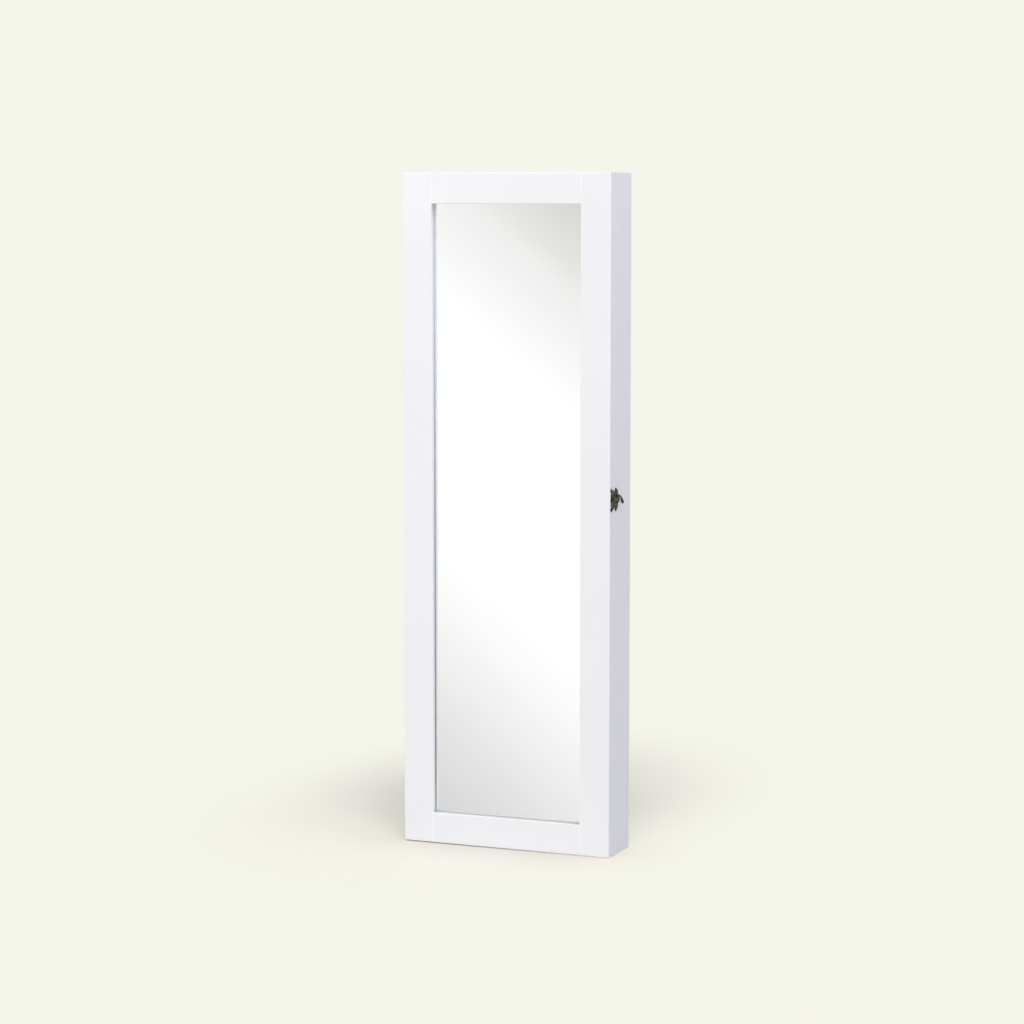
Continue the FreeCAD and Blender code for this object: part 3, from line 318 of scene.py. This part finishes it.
LOOKS = {
    "painted_wood": painted_wood("painted_wood"),
    "bare_wood": bare_wood(),
    "hardboard": hardboard(),
    "velvet": velvet(),
    "mirror": silver(),
    "antique_bronze": bronze("antique_bronze", 0.5, 8.0),
    "steel": steel(),
    "bumper": bumper_rubber(),
}  # by material slot
GLASS_EDGE = glass_edge()
CAST_BRONZE = bronze("cast_bronze", 1.0, 25.0)
PIN_BRONZE = bronze("pin_bronze", 0.35, 8.0)
ROD_BRONZE = bronze("rod_bronze", 0.35, 0.0, (7, 1, 1))
# the door frame's paint, with painted highlights along its joints
FRAME_GROOVES = (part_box("left_stile")[1].x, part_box("right_stile")[0].x)
FRAME_PAINT = painted_wood("frame_paint", FRAME_GROOVES)
OWN_LOOKS = {
    "upper_guard_rail": ROD_BRONZE, "lower_guard_rail": ROD_BRONZE,
    "left_stile": FRAME_PAINT, "right_stile": FRAME_PAINT,
    "top_rail": FRAME_PAINT, "bottom_rail": FRAME_PAINT,
}  # by node, in place of the slot's look
SLOT_OF = {entry["node"]: entry["material_slot"] for entry in frame["record"]["subparts"]}

for node_name, node_object in nodes.items():
    node_object.data.materials.clear()
    node_object.data.materials.append(OWN_LOOKS.get(node_name, LOOKS[SLOT_OF[node_name]]))

# ---------------------------------------------------------------- pieces


def piece(name, mesh, body, slot, replaced=None):
    """Links a finished mesh as a piece that rides on a body, in a material slot's look."""
    made = bpy.data.objects.new(name, mesh)
    scene.collection.objects.link(made)
    if not mesh.materials:
        mesh.materials.append(LOOKS[slot])
    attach(made, body)
    if replaced:
        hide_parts(replaced)
    return made


def angles(count):
    """Evenly spaced angles round a full turn."""
    return [2 * math.pi * step / count for step in range(count)]


def join_rings(bm, rings):
    """Makes faces from each ring of vertices to the next; all rings have the same number."""
    for first, second in zip(rings, rings[1:]):
        for index in range(len(first)):
            following = (index + 1) % len(first)
            bm.faces.new((first[index], first[following], second[following], second[index]))


def mesh_of(bm, name):
    """Turns a bmesh into a mesh and frees it."""
    mesh = bpy.data.meshes.new(name)
    bm.to_mesh(mesh)
    bm.free()
    return mesh


def shade_smooth(mesh):
    for face in mesh.polygons:
        face.use_smooth = True


EDGE_ROUND = 0.7 * MM
EDGE_ANGLE = math.radians(40)  # edges that turn by more than this are rounded
WELD = 0.01 * MM
SOFTENED = (
    "lower_shelf", "upper_shelf", "ring_shelf", "necklace_shelf", "centre_divider", "hook_rail",
)


def softened(name):
    """Gives a CAD node's sharp edges a small round, for the light to catch."""
    node = nodes[name]
    weld = node.modifiers.new("weld", "WELD")
    weld.merge_threshold = WELD
    bevel = node.modifiers.new("edges", "BEVEL")
    bevel.width = EDGE_ROUND
    bevel.segments = 2
    bevel.limit_method = "ANGLE"
    bevel.angle_limit = EDGE_ANGLE
    bevel.harden_normals = True


for node_name in SOFTENED:
    softened(node_name)

# ---------------------------------------------------------------- mirror

GLASS_PLAY = 1.0 * MM  # round the pane in its rebate
REBATE_WIDTH = 8.0 * MM
GLASS_DEPTH_SEEN = 3.6 * MM  # how far behind the glass's front its silvering appears


def mirror_pane():
    """The pane as it is seen: a bright sheet behind the glass's greenish edge."""
    low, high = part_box("mirror_glass")
    hidden = REBATE_WIDTH - GLASS_PLAY  # width of the pane's margin under the frame's lip
    levels = (high.y, low.y, low.y, low.y + GLASS_DEPTH_SEEN)
    insets = (0.0, 0.0, hidden, hidden)
    bm = bmesh.new()
    rings = []
    for y, inset in zip(levels, insets):
        corners = (
            (low.x + inset, low.z + inset), (high.x - inset, low.z + inset),
            (high.x - inset, high.z - inset), (low.x + inset, high.z - inset),
        )
        rings.append([bm.verts.new((x, y, z)) for x, z in corners])
    bm.faces.new(rings[0][::-1])
    join_rings(bm, rings)
    sheet = bm.faces.new(rings[-1])
    bmesh.ops.recalc_face_normals(bm, faces=bm.faces)
    sheet.material_index = 1
    mesh = mesh_of(bm, "mirror_pane")
    mesh.materials.append(GLASS_EDGE)
    mesh.materials.append(LOOKS["mirror"])
    piece("mirror_pane", mesh, "door", "mirror", "mirror_glass")


mirror_pane()

# ---------------------------------------------------------------- ring rolls

ROLL_COUNT = 8
ROLL_GAP = 0.8 * MM
ROLL_SLACK = 0.7 * MM  # how much smaller the roll is before it swells
ROLL_LENGTH_STEPS = 72
ROLL_GIRTH_STEPS = 40
ROLL_CROWDING = 0.85  # below 1, the steps along a roll lie closer towards its ends
ROLL_END = 5.0 * MM  # length of the rounding at each end
ROLL_TIP = 0.62  # size of the section at the very end, as a share of the full one
ROLL_SET_BACK = 0.6  # how much of its lost depth an end gives up at the front only
FLAT_POWERS = (0.5, 0.72)  # of cosine and sine on a roll's flat back; below 1 is squarer
ROUND_POWERS = (0.95, 0.95)  # the same on its round front
TUCK_SHARE = 0.55  # how far towards the middle the cloth at an end is drawn in
TUCK_RIM = 0.5 * MM
TUCK_MIDDLE = 1.3 * MM
LUMP_DEPTH = 0.25 * MM
LUMPS_PER_METRE = 55
LUMP_SHIFT = 7.3  # from roll to roll in the noise
SIM_SCALE = 10.0  # the cloth is simulated at ten times its size
SIM_FRAMES = 16
SWELL_LIMIT = 1.2 * MM
CLOTH_SETTINGS = {
    "use_pressure": True, "uniform_pressure_force": 4.0, "mass": 0.3,
    "tension_stiffness": 20, "compression_stiffness": 20, "shear_stiffness": 8,
}


def roll_section(angle, half_height, depth):
    """(y, z) on a D-shaped outline about the roll's middle; the flat side faces +Y."""
    c, s = math.cos(angle), math.sin(angle)
    c_power, s_power = FLAT_POWERS if c > 0 else ROUND_POWERS
    y = math.copysign(abs(c) ** c_power, c) * depth / 2
    z = math.copysign(abs(s) ** s_power, s) * half_height
    return y, z


def roll_mesh(name, low, high, number):
    """Closed skin of one foam roll, a little uneven, with tucked-in ends."""
    centre = (low + high) / 2
    half = (high - low) / 2
    bm = bmesh.new()
    rings = []
    for step in range(ROLL_LENGTH_STEPS + 1):
        along = -1 + 2 * step / ROLL_LENGTH_STEPS
        along = math.copysign(abs(along) ** ROLL_CROWDING, along)
        x = along * half.x
        from_end = min(1.0, (half.x - abs(x)) / ROLL_END)
        size = ROLL_TIP + (1 - ROLL_TIP) * math.sqrt(1 - (1 - from_end) ** 2)
        ring = []
        for angle in angles(ROLL_GIRTH_STEPS):
            y, z = roll_section(angle, half.z * size, 2 * half.y * size)
            y += half.y * (1 - size) * ROLL_SET_BACK
            ring.append(bm.verts.new((centre.x + x, centre.y + y, centre.z + z)))
        rings.append(ring)
    join_rings(bm, rings)
    for ring, inward in ((rings[0], 1), (rings[-1], -1)):
        middle = sum((vert.co for vert in ring), Vector()) / len(ring)
        shift = Vector((inward * TUCK_RIM, 0, 0))
        inner = [bm.verts.new(vert.co.lerp(middle, TUCK_SHARE) + shift) for vert in ring]
        tuck = bm.verts.new(middle + Vector((inward * TUCK_MIDDLE, 0, 0)))
        for index in range(ROLL_GIRTH_STEPS):
            following = (index + 1) % ROLL_GIRTH_STEPS
            bm.faces.new((ring[index], ring[following], inner[following], inner[index]))
            bm.faces.new((inner[index], inner[following], tuck))
    bmesh.ops.recalc_face_normals(bm, faces=bm.faces)
    for vert in bm.verts:
        place = vert.co * LUMPS_PER_METRE + Vector((0, 0, LUMP_SHIFT * number))
        vert.co += (centre - vert.co).normalized() * (LUMP_DEPTH * noise.noise(place))
    mesh = mesh_of(bm, name)
    shade_smooth(mesh)
    return mesh


def swell(mesh):
    """Where a cloth simulation moves the skin's points when it blows up; none moves too far."""
    count = len(mesh.vertices)
    rest = np.zeros(count * 3)
    mesh.vertices.foreach_get("co", rest)
    rest = rest.reshape(-1, 3)
    middle = rest.mean(0)
    work = mesh.copy()
    work.vertices.foreach_set("co", ((rest - middle) * SIM_SCALE).ravel())
    body = bpy.data.objects.new("swelling", work)
    scene.collection.objects.link(body)
    settings = body.modifiers.new("cloth", "CLOTH").settings
    for name, value in CLOTH_SETTINGS.items():
        setattr(settings, name, value)
    settings.effector_weights.gravity = 0
    for step in range(1, SIM_FRAMES + 1):
        scene.frame_set(step)
    settled = body.evaluated_get(bpy.context.evaluated_depsgraph_get())
    result = np.zeros(count * 3)
    settled.data.vertices.foreach_get("co", result)
    result = result.reshape(-1, 3) / SIM_SCALE + middle
    bpy.data.objects.remove(body)
    scene.frame_set(1)
    move = result - rest
    length = np.linalg.norm(move, axis=1, keepdims=True)
    move *= np.minimum(1.0, SWELL_LIMIT / np.maximum(length, 1e-9))
    return rest + move


def ring_rolls():
    """Eight foam rolls in velvet; rings stand in the furrows between them."""
    low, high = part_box("ring_rolls")
    pitch = (high.z - low.z + ROLL_GAP) / ROLL_COUNT
    for number in range(ROLL_COUNT):
        bottom = Vector((low.x, low.y, low.z + number * pitch))
        top = Vector((high.x, high.y, bottom.z + pitch - ROLL_GAP))
        slack = Vector((1, 1, 1)) * ROLL_SLACK
        name = f"ring_roll_{number + 1}"
        mesh = roll_mesh(name, bottom + slack, top - slack, number)
        points = np.clip(swell(mesh), np.array(bottom), np.array(top))
        mesh.vertices.foreach_set("co", points.ravel())
        roll = piece(name, mesh, "case", "velvet", "ring_rolls")
        roll.modifiers.new("smooth", "SUBSURF").render_levels = 1


ring_rolls()

# ---------------------------------------------------------------- latch

LATCH_FACE = 0.8 * MM  # thickness of the plates
SAME_POINT = 0.000001  # points closer than this are one
CAST_VOXEL = 0.16  # mm
CAST_SMOOTHING = 0.5
CAST_FACES_KEPT = 0.35
HOOK_THICKNESS = 2.6  # mm
HOOK_CUT = 2.2  # mm behind the pivot
HOOK_SIDES = 14
HOOK_TAIL = (
    (0.5, 1.2, 0.0, 1.6), (2.2, 3.4, 0.0, 1.75), (4.6, 5.0, 0.1, 1.75), (7.4, 4.9, 0.3, 1.6),
    (10.0, 3.4, 0.6, 1.5), (12.2, 1.2, 0.9, 1.5), (13.9, -1.3, 1.2, 1.75), (15.0, -3.2, 1.4, 2.35),
    (15.9, -5.0, 1.5, 2.6), (16.6, -6.8, 1.5, 2.2), (17.0, -8.2, 1.4, 1.1),
)  # mm behind, above and outward of the pivot's middle, and the radius there
PIN_SIDES = 20
PIN_PROFILE = (
    (0.0, 0.8), (8.9, 0.8), (9.0, 2.5), (9.5, 2.55), (9.9, 2.2), (10.4, 2.15), (10.9, 1.8),
    (11.3, 1.1), (11.45, 0.4),
)  # mm from the pin's point, and the radius there
SCROLL_SIDES = 10
SCROLL_STEPS = 30
SCROLL_HEART = 0.16  # how far from its middle a scroll starts, as a share of its size
SCROLLS = (
    (9.9, 13.2, 2.1, 1.25, 0.42, 1), (2.6, 11.2, 1.7, 1.2, 0.36, -1),
    (12.4, 9.6, 1.5, 1.1, 0.34, 1),
)  # mm from the seam and above the plate's middle, size, turns, thickness and hand
BEADS = ((1.2, 2.6), (1.2, 5.0), (6.6, 4.6), (10.4, 1.7))  # mm, as in SCROLLS
BEAD_RADIUS = 0.55  # mm
ORNAMENT_LIFT = 0.05  # mm from a plate's face to the middle of its scrolls and beads


def tube(bm, points, radii, sides):
    """Round tube through points, closed by a point at each end, with a radius at each point."""
    rings = []
    for index, (point, radius) in enumerate(zip(points, radii)):
        before, after = points[max(index - 1, 0)], points[min(index + 1, len(points) - 1)]
        way = (after - before).normalized()
        across = way.orthogonal().normalized() if index == 0 else across - way * across.dot(way)
        across.normalize()
        other = way.cross(across)
        ring = []
        for angle in angles(sides):
            offset = (across * math.cos(angle) + other * math.sin(angle)) * radius
            ring.append(bm.verts.new(point + offset))
        rings.append(ring)
    join_rings(bm, rings)
    for ring, point in ((rings[0], points[0]), (rings[-1], points[-1])):
        tip = bm.verts.new(point)
        for index in range(sides):
            bm.faces.new((ring[index], ring[(index + 1) % sides], tip))


def ball(bm, place, radius):
    made = bmesh.ops.create_uvsphere(bm, u_segments=16, v_segments=10, radius=radius)
    for vert in made["verts"]:
        vert.co += place


def scroll(bm, x, middle, size, start, turns, thick, hand):
    """Raised spiral on a plate, in millimetres, from its middle outwards, thickest on its way."""
    points, radii = [], []
    for step in range(SCROLL_STEPS + 1):
        share = step / SCROLL_STEPS
        angle = start + hand * share * turns * 2 * math.pi
        radius = size * (SCROLL_HEART + (1 - SCROLL_HEART) * share ** 0.8)
        y, z = middle[0] + radius * math.cos(angle), middle[1] + radius * math.sin(angle)
        points.append(Vector((x, y, z)))
        radii.append(thick * (0.75 + 0.35 * math.sin(math.pi * min(1.0, share * 1.15))))
    tube(bm, points, radii, SCROLL_SIDES)
    ball(bm, points[0], thick * 1.35)
    ball(bm, points[-1], thick * 0.9)


def cast(name, node, form, rounds=6):
    """Casting made from a CAD node's solid as form alters it, melted together and smoothed."""
    bm = bmesh.new()
    bm.from_mesh(nodes[node].data)
    bmesh.ops.remove_doubles(bm, verts=bm.verts, dist=SAME_POINT)
    bmesh.ops.scale(bm, vec=(TO_MM, TO_MM, TO_MM), verts=bm.verts)
    form(bm)
    body = bpy.data.objects.new(name + "_work", mesh_of(bm, name))
    scene.collection.objects.link(body)
    remesh = body.modifiers.new("melt", "REMESH")
    remesh.mode = "VOXEL"
    remesh.voxel_size = CAST_VOXEL
    smooth = body.modifiers.new("smooth", "SMOOTH")
    smooth.factor = CAST_SMOOTHING
    smooth.iterations = rounds
    thin = body.modifiers.new("thin", "DECIMATE")
    thin.ratio = CAST_FACES_KEPT
    settled = body.evaluated_get(bpy.context.evaluated_depsgraph_get())
    result = bpy.data.meshes.new_from_object(settled)
    bpy.data.objects.remove(body)
    result.name = name
    points = np.zeros(len(result.vertices) * 3)
    result.vertices.foreach_get("co", points)
    result.vertices.foreach_set("co", points * MM)
    result.materials.clear()
    result.materials.append(CAST_BRONZE)
    shade_smooth(result)
    return result


def plate_ornament(node, side):
    """Scrolls and beads for one plate; side is 1 on the case and -1 on the door."""
    low, high = (corner * TO_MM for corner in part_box(node))
    seam = low.y if side > 0 else high.y
    middle = (low.z + high.z) / 2
    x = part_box("right_side_panel")[1].x * TO_MM + LATCH_FACE * TO_MM + ORNAMENT_LIFT

    def place(distance, rise):
        return seam + side * distance, middle + rise

    def draw(bm):
        for up in (1, -1):
            starts = (
                math.pi * (0.1 if side > 0 else 0.9), -math.pi * 0.4 * up, math.pi * 0.5 * up,
            )
            for start, (distance, rise, size, turns, thick, hand) in zip(starts, SCROLLS):
                centre = place(distance, rise * up)
                scroll(bm, x, centre, size, start, turns, thick, hand * up * side)
            for distance, rise in BEADS:
                ball(bm, Vector((x, *place(distance, rise * up))), BEAD_RADIUS)

    return draw


def hook_form(bm):
    """Takes the plain curl off the hook and gives it a tapering one that ends in a drop."""
    low, high = (corner * TO_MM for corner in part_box("latch_rivet"))
    pivot_y, pivot_z = (low.y + high.y) / 2, (low.z + high.z) / 2
    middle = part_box("latch_hook")[0].x * TO_MM + HOOK_THICKNESS / 2
    cut = bmesh.ops.bisect_plane(
        bm, geom=bm.verts[:] + bm.edges[:] + bm.faces[:], plane_co=(0, pivot_y + HOOK_CUT, 0),
        plane_no=(0, 1, 0), clear_outer=True,
    )
    rim = [edge for edge in cut["geom_cut"] if isinstance(edge, bmesh.types.BMEdge)]
    bmesh.ops.holes_fill(bm, edges=rim)
    points = [
        Vector((middle + out, pivot_y + back, pivot_z + rise)) for back, rise, out, _ in HOOK_TAIL
    ]
    tube(bm, points, [radius for *_, radius in HOOK_TAIL], HOOK_SIDES)


def pin_knobs(name, node, body):
    """Round-headed pins with a shallow collar, one at each end of a plate."""
    low, high = (corner * TO_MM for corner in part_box(node))
    y = (low.y + high.y) / 2
    spread = (high.y - low.y) / 2
    bm = bmesh.new()
    for z in (low.z + spread, high.z - spread):
        rings = []
        for reach, radius in PIN_PROFILE:
            ring = []
            for angle in angles(PIN_SIDES):
                place = (low.x + reach, y + radius * math.cos(angle), z + radius * math.sin(angle))
                ring.append(bm.verts.new(Vector(place) * MM))
            rings.append(ring)
        join_rings(bm, rings)
        bm.faces.new(rings[0])
        bm.faces.new(rings[-1])
    bmesh.ops.recalc_face_normals(bm, faces=bm.faces)
    mesh = mesh_of(bm, name)
    shade_smooth(mesh)
    mesh.materials.append(PIN_BRONZE)
    piece(name, mesh, body, "antique_bronze", node)


def latch():
    """The latch's pins, plates and hook."""
    pin_knobs("latch_case_pin_knobs", "latch_case_pins", "case")
    pin_knobs("latch_door_pin_knobs", "latch_door_pins", "door")
    for name, node, body, side in (
        ("latch_case_casting", "latch_case_plate", "case", 1),
        ("latch_door_casting", "latch_door_plate", "door", -1),
    ):
        piece(name, cast(name, node, plate_ornament(node, side)), body, "antique_bronze", node)
    casting = cast("latch_hook_casting", "latch_hook", hook_form, rounds=8)
    piece("latch_hook_casting", casting, "latch_hook", "antique_bronze", "latch_hook")


latch()

# ---------------------------------------------------------------- studio

BACKGROUND = (0.913, 0.913, 0.831)  # the pale cream behind the object, as linear light
FLOOR_SIZE = 60.0
FLOOR_DROP = 0.1 * MM  # how far under the object the floor lies
FLOOR_LIT = (0.815, 0.800, 0.715)  # the floor's own colour near the object
FLOOR_BOUNCE = (0.60, 0.60, 0.605)  # the same floor as it lights the object
FADE_SHAPE = (1.0, 0.6, 1.0)  # the shadow lies longer along Y than along X
FADE_MIDDLE = (-0.175, 0.18, 0.0)
FADE = (0.10, 0.50)  # from where to where the floor goes over into the background
CONTACT_REACH = 0.14  # m, how far the shade at the object's foot reaches
CONTACT_TINT = (0.93, 0.81, 0.80)  # what is left of the floor's light right under the object
FRONT_TINT = (0.67, 0.60, 0.63)  # the same before the door, where no shadow falls
FRONT_FROM = (0.18, -0.03)  # X and Y from which the front's tint sets in, towards -X and -Y
FRONT_FULL = (0.06, -0.06)
AMBIENT = (0.58, 0.58, 0.58, 1)
AMBIENT_RIGHT = (0.27, 0.27, 0.57, 1)
AMBIENT_FRONT = (0.93, 0.93, 0.93, 1)
RIGHT_SHARE = (0.35, 1.0)  # X of a direction where the right's light sets in, and where it is full
FRONT_SHARE = (-0.2, -1.0)  # the same for the front's light, by Y
MIRROR_TURN = 22.24  # degrees from -Y to the middle of what the mirror shows
MIRROR_HALF = 4.0  # degrees to either side of that middle
MIRROR_SLANT = 2.45  # degrees that the mirrored gradient lies higher or lower at these sides
MIRRORED_TOP = 1.0  # degrees above the horizon where it starts
MIRRORED_SPAN = 16.0  # degrees
MIRRORED = (
    (0.0, (0.70, 0.70, 0.675)),
    (0.08, (0.815, 0.815, 0.79)),
    (0.115, (0.89, 0.89, 0.875)),
    (0.20, (0.965, 0.965, 0.96)),
    (0.26, (1.03, 1.03, 1.03)),
    (0.57, (1.03, 1.03, 1.03)),
    (0.635, (0.975, 0.975, 0.975)),
    (0.76, (0.83, 0.83, 0.83)),
    (0.89, (0.69, 0.69, 0.685)),
    (1.0, (0.76, 0.76, 0.74)),
)  # what the mirror shows, from above the horizon down to the floor


def studio_world():
    """Soft light from all round, most from the front and bluer from the right.

    Glossy surfaces that the camera sees show a grey gradient in its place.
    """
    world = bpy.data.worlds.new("studio")
    world.use_nodes = True
    tree = Nodes(world.node_tree)
    world.node_tree.nodes.clear()
    way = tree.add("TexCoord").outputs["Generated"]
    x, y, z = (tree.axis(way, name) for name in "XYZ")
    down = tree.math("MULTIPLY", tree.math("ARCSINE", z), -180 / math.pi)
    turn = tree.math("ARCTAN2", x, tree.math("MULTIPLY", y, -1.0))
    turn = tree.math("MULTIPLY_ADD", turn, 180 / math.pi, MIRROR_TURN)
    slant = tree.remap(turn, -MIRROR_HALF, MIRROR_HALF, -MIRROR_SLANT, MIRROR_SLANT, smooth=True)
    depth = tree.math("ADD", tree.math("SUBTRACT", down, slant), MIRRORED_TOP)
    share = tree.math("DIVIDE", depth, MIRRORED_SPAN, clamp=True)
    reflected = tree.ramp(share, *MIRRORED)
    right, front = tree.remap(x, *RIGHT_SHARE), tree.remap(y, *FRONT_SHARE)
    around = tree.mix(front, tree.mix(right, AMBIENT, AMBIENT_RIGHT), AMBIENT_FRONT)
    ray = tree.add("LightPath").outputs
    first = tree.math("LESS_THAN", ray["Diffuse Depth"], 0.5)
    ambient, gloss, seen = (
        tree.add("Background", {"Color": colour, "Strength": 1.0}).outputs[0]
        for colour in (around, reflected, (*BACKGROUND, 1))
    )
    direct = tree.math("ADD", ray["Is Camera Ray"], ray["Is Transmission Ray"], clamp=True)
    glossy = tree.math("MULTIPLY", ray["Is Glossy Ray"], first)
    shown = tree.add("MixShader", {0: glossy, 1: ambient, 2: gloss}).outputs[0]
    shown = tree.add("MixShader", {0: direct, 1: shown, 2: seen}).outputs[0]
    tree.add("OutputWorld", {"Surface": shown})
    scene.world = world


def studio_floor():
    """A floor that takes the object's shadow and goes over into the background further away."""
    bm = bmesh.new()
    bmesh.ops.create_grid(bm, x_segments=2, y_segments=2, size=FLOOR_SIZE / 2)
    mesh = mesh_of(bm, "studio_floor")
    floor = bpy.data.objects.new("studio_floor", mesh)
    floor.location.z = -FLOOR_DROP
    scene.collection.objects.link(floor)
    look = Look("studio_floor")
    look.tree.nodes.remove(look.shader)
    place = look.add("VectorMath", {0: look.place, 1: FADE_SHAPE}, operation="MULTIPLY").outputs[0]
    from_middle = look.add("VectorMath", {0: place, 1: FADE_MIDDLE}, operation="DISTANCE")
    far = look.remap(from_middle.outputs["Value"], *FADE, smooth=True)
    seen = look.add("LightPath").outputs["Is Camera Ray"]
    in_front = 1.0
    for axis, start, full in zip("XY", FRONT_FROM, FRONT_FULL):
        share = look.remap(look.axis(look.place, axis), start, full)
        in_front = look.math("MULTIPLY", in_front, share)
    tint = look.mix(in_front, (*CONTACT_TINT, 1), (*FRONT_TINT, 1))
    shade = look.mix(look.open_sky(CONTACT_REACH), tint, (1, 1, 1, 1))
    near_foot = look.mix(1.0, (*FLOOR_LIT, 1), shade, "MULTIPLY")
    away = look.mix(1.0, (*BACKGROUND, 1), shade, "MULTIPLY")
    colour = look.mix(seen, (*FLOOR_BOUNCE, 1), near_foot)
    lit = look.add("BsdfDiffuse", {"Color": colour}).outputs[0]
    plain = look.add("Emission", {"Color": away, "Strength": 1.0}).outputs[0]
    far_seen = look.math("MULTIPLY", far, seen)
    shown = look.add("MixShader", {0: far_seen, 1: lit, 2: plain}).outputs[0]
    look.put(shown, look.tree.nodes["Material Output"].inputs["Surface"])
    mesh.materials.append(look.material)
    floor.visible_glossy = False


def hang(data, towards, strength, colour):
    """Links a lamp; towards points from what it lights to the lamp."""
    data.energy = strength
    data.color = colour
    data.cycles.use_multiple_importance_sampling = False
    lamp = bpy.data.objects.new(data.name, data)
    lamp.rotation_mode = "QUATERNION"
    lamp.rotation_quaternion = towards.to_track_quat("Z", "Y")
    scene.collection.objects.link(lamp)
    return lamp


def sun(name, towards, strength, angle, colour):
    """A soft distant lamp, as wide as an angle in degrees."""
    data = bpy.data.lights.new(name, "SUN")
    data.angle = math.radians(angle)
    hang(data, Vector(towards), strength, colour)


def soft_box(name, place, target, size, power, colour):
    """A square lamp that faces a point."""
    data = bpy.data.lights.new(name, "AREA")
    data.size = size
    lamp = hang(data, Vector(place) - Vector(target), power, colour)
    lamp.location = place


studio_world()
studio_floor()
sun("key", (0.27, -0.53, 0.80), 1.15, 36, (1.0, 1.0, 1.0))
soft_box("upper_left", (-1.1, -1.5, 2.0), (-0.1, 0.0, 0.8), 0.6, 9.0, (0.98, 0.99, 1.0))
soft_box("upper_right", (0.9, -0.2, 1.7), (0.18, 0.0, 1.0), 0.35, 2.2, (0.98, 0.96, 0.98))

scene.view_settings.view_transform = "Standard"
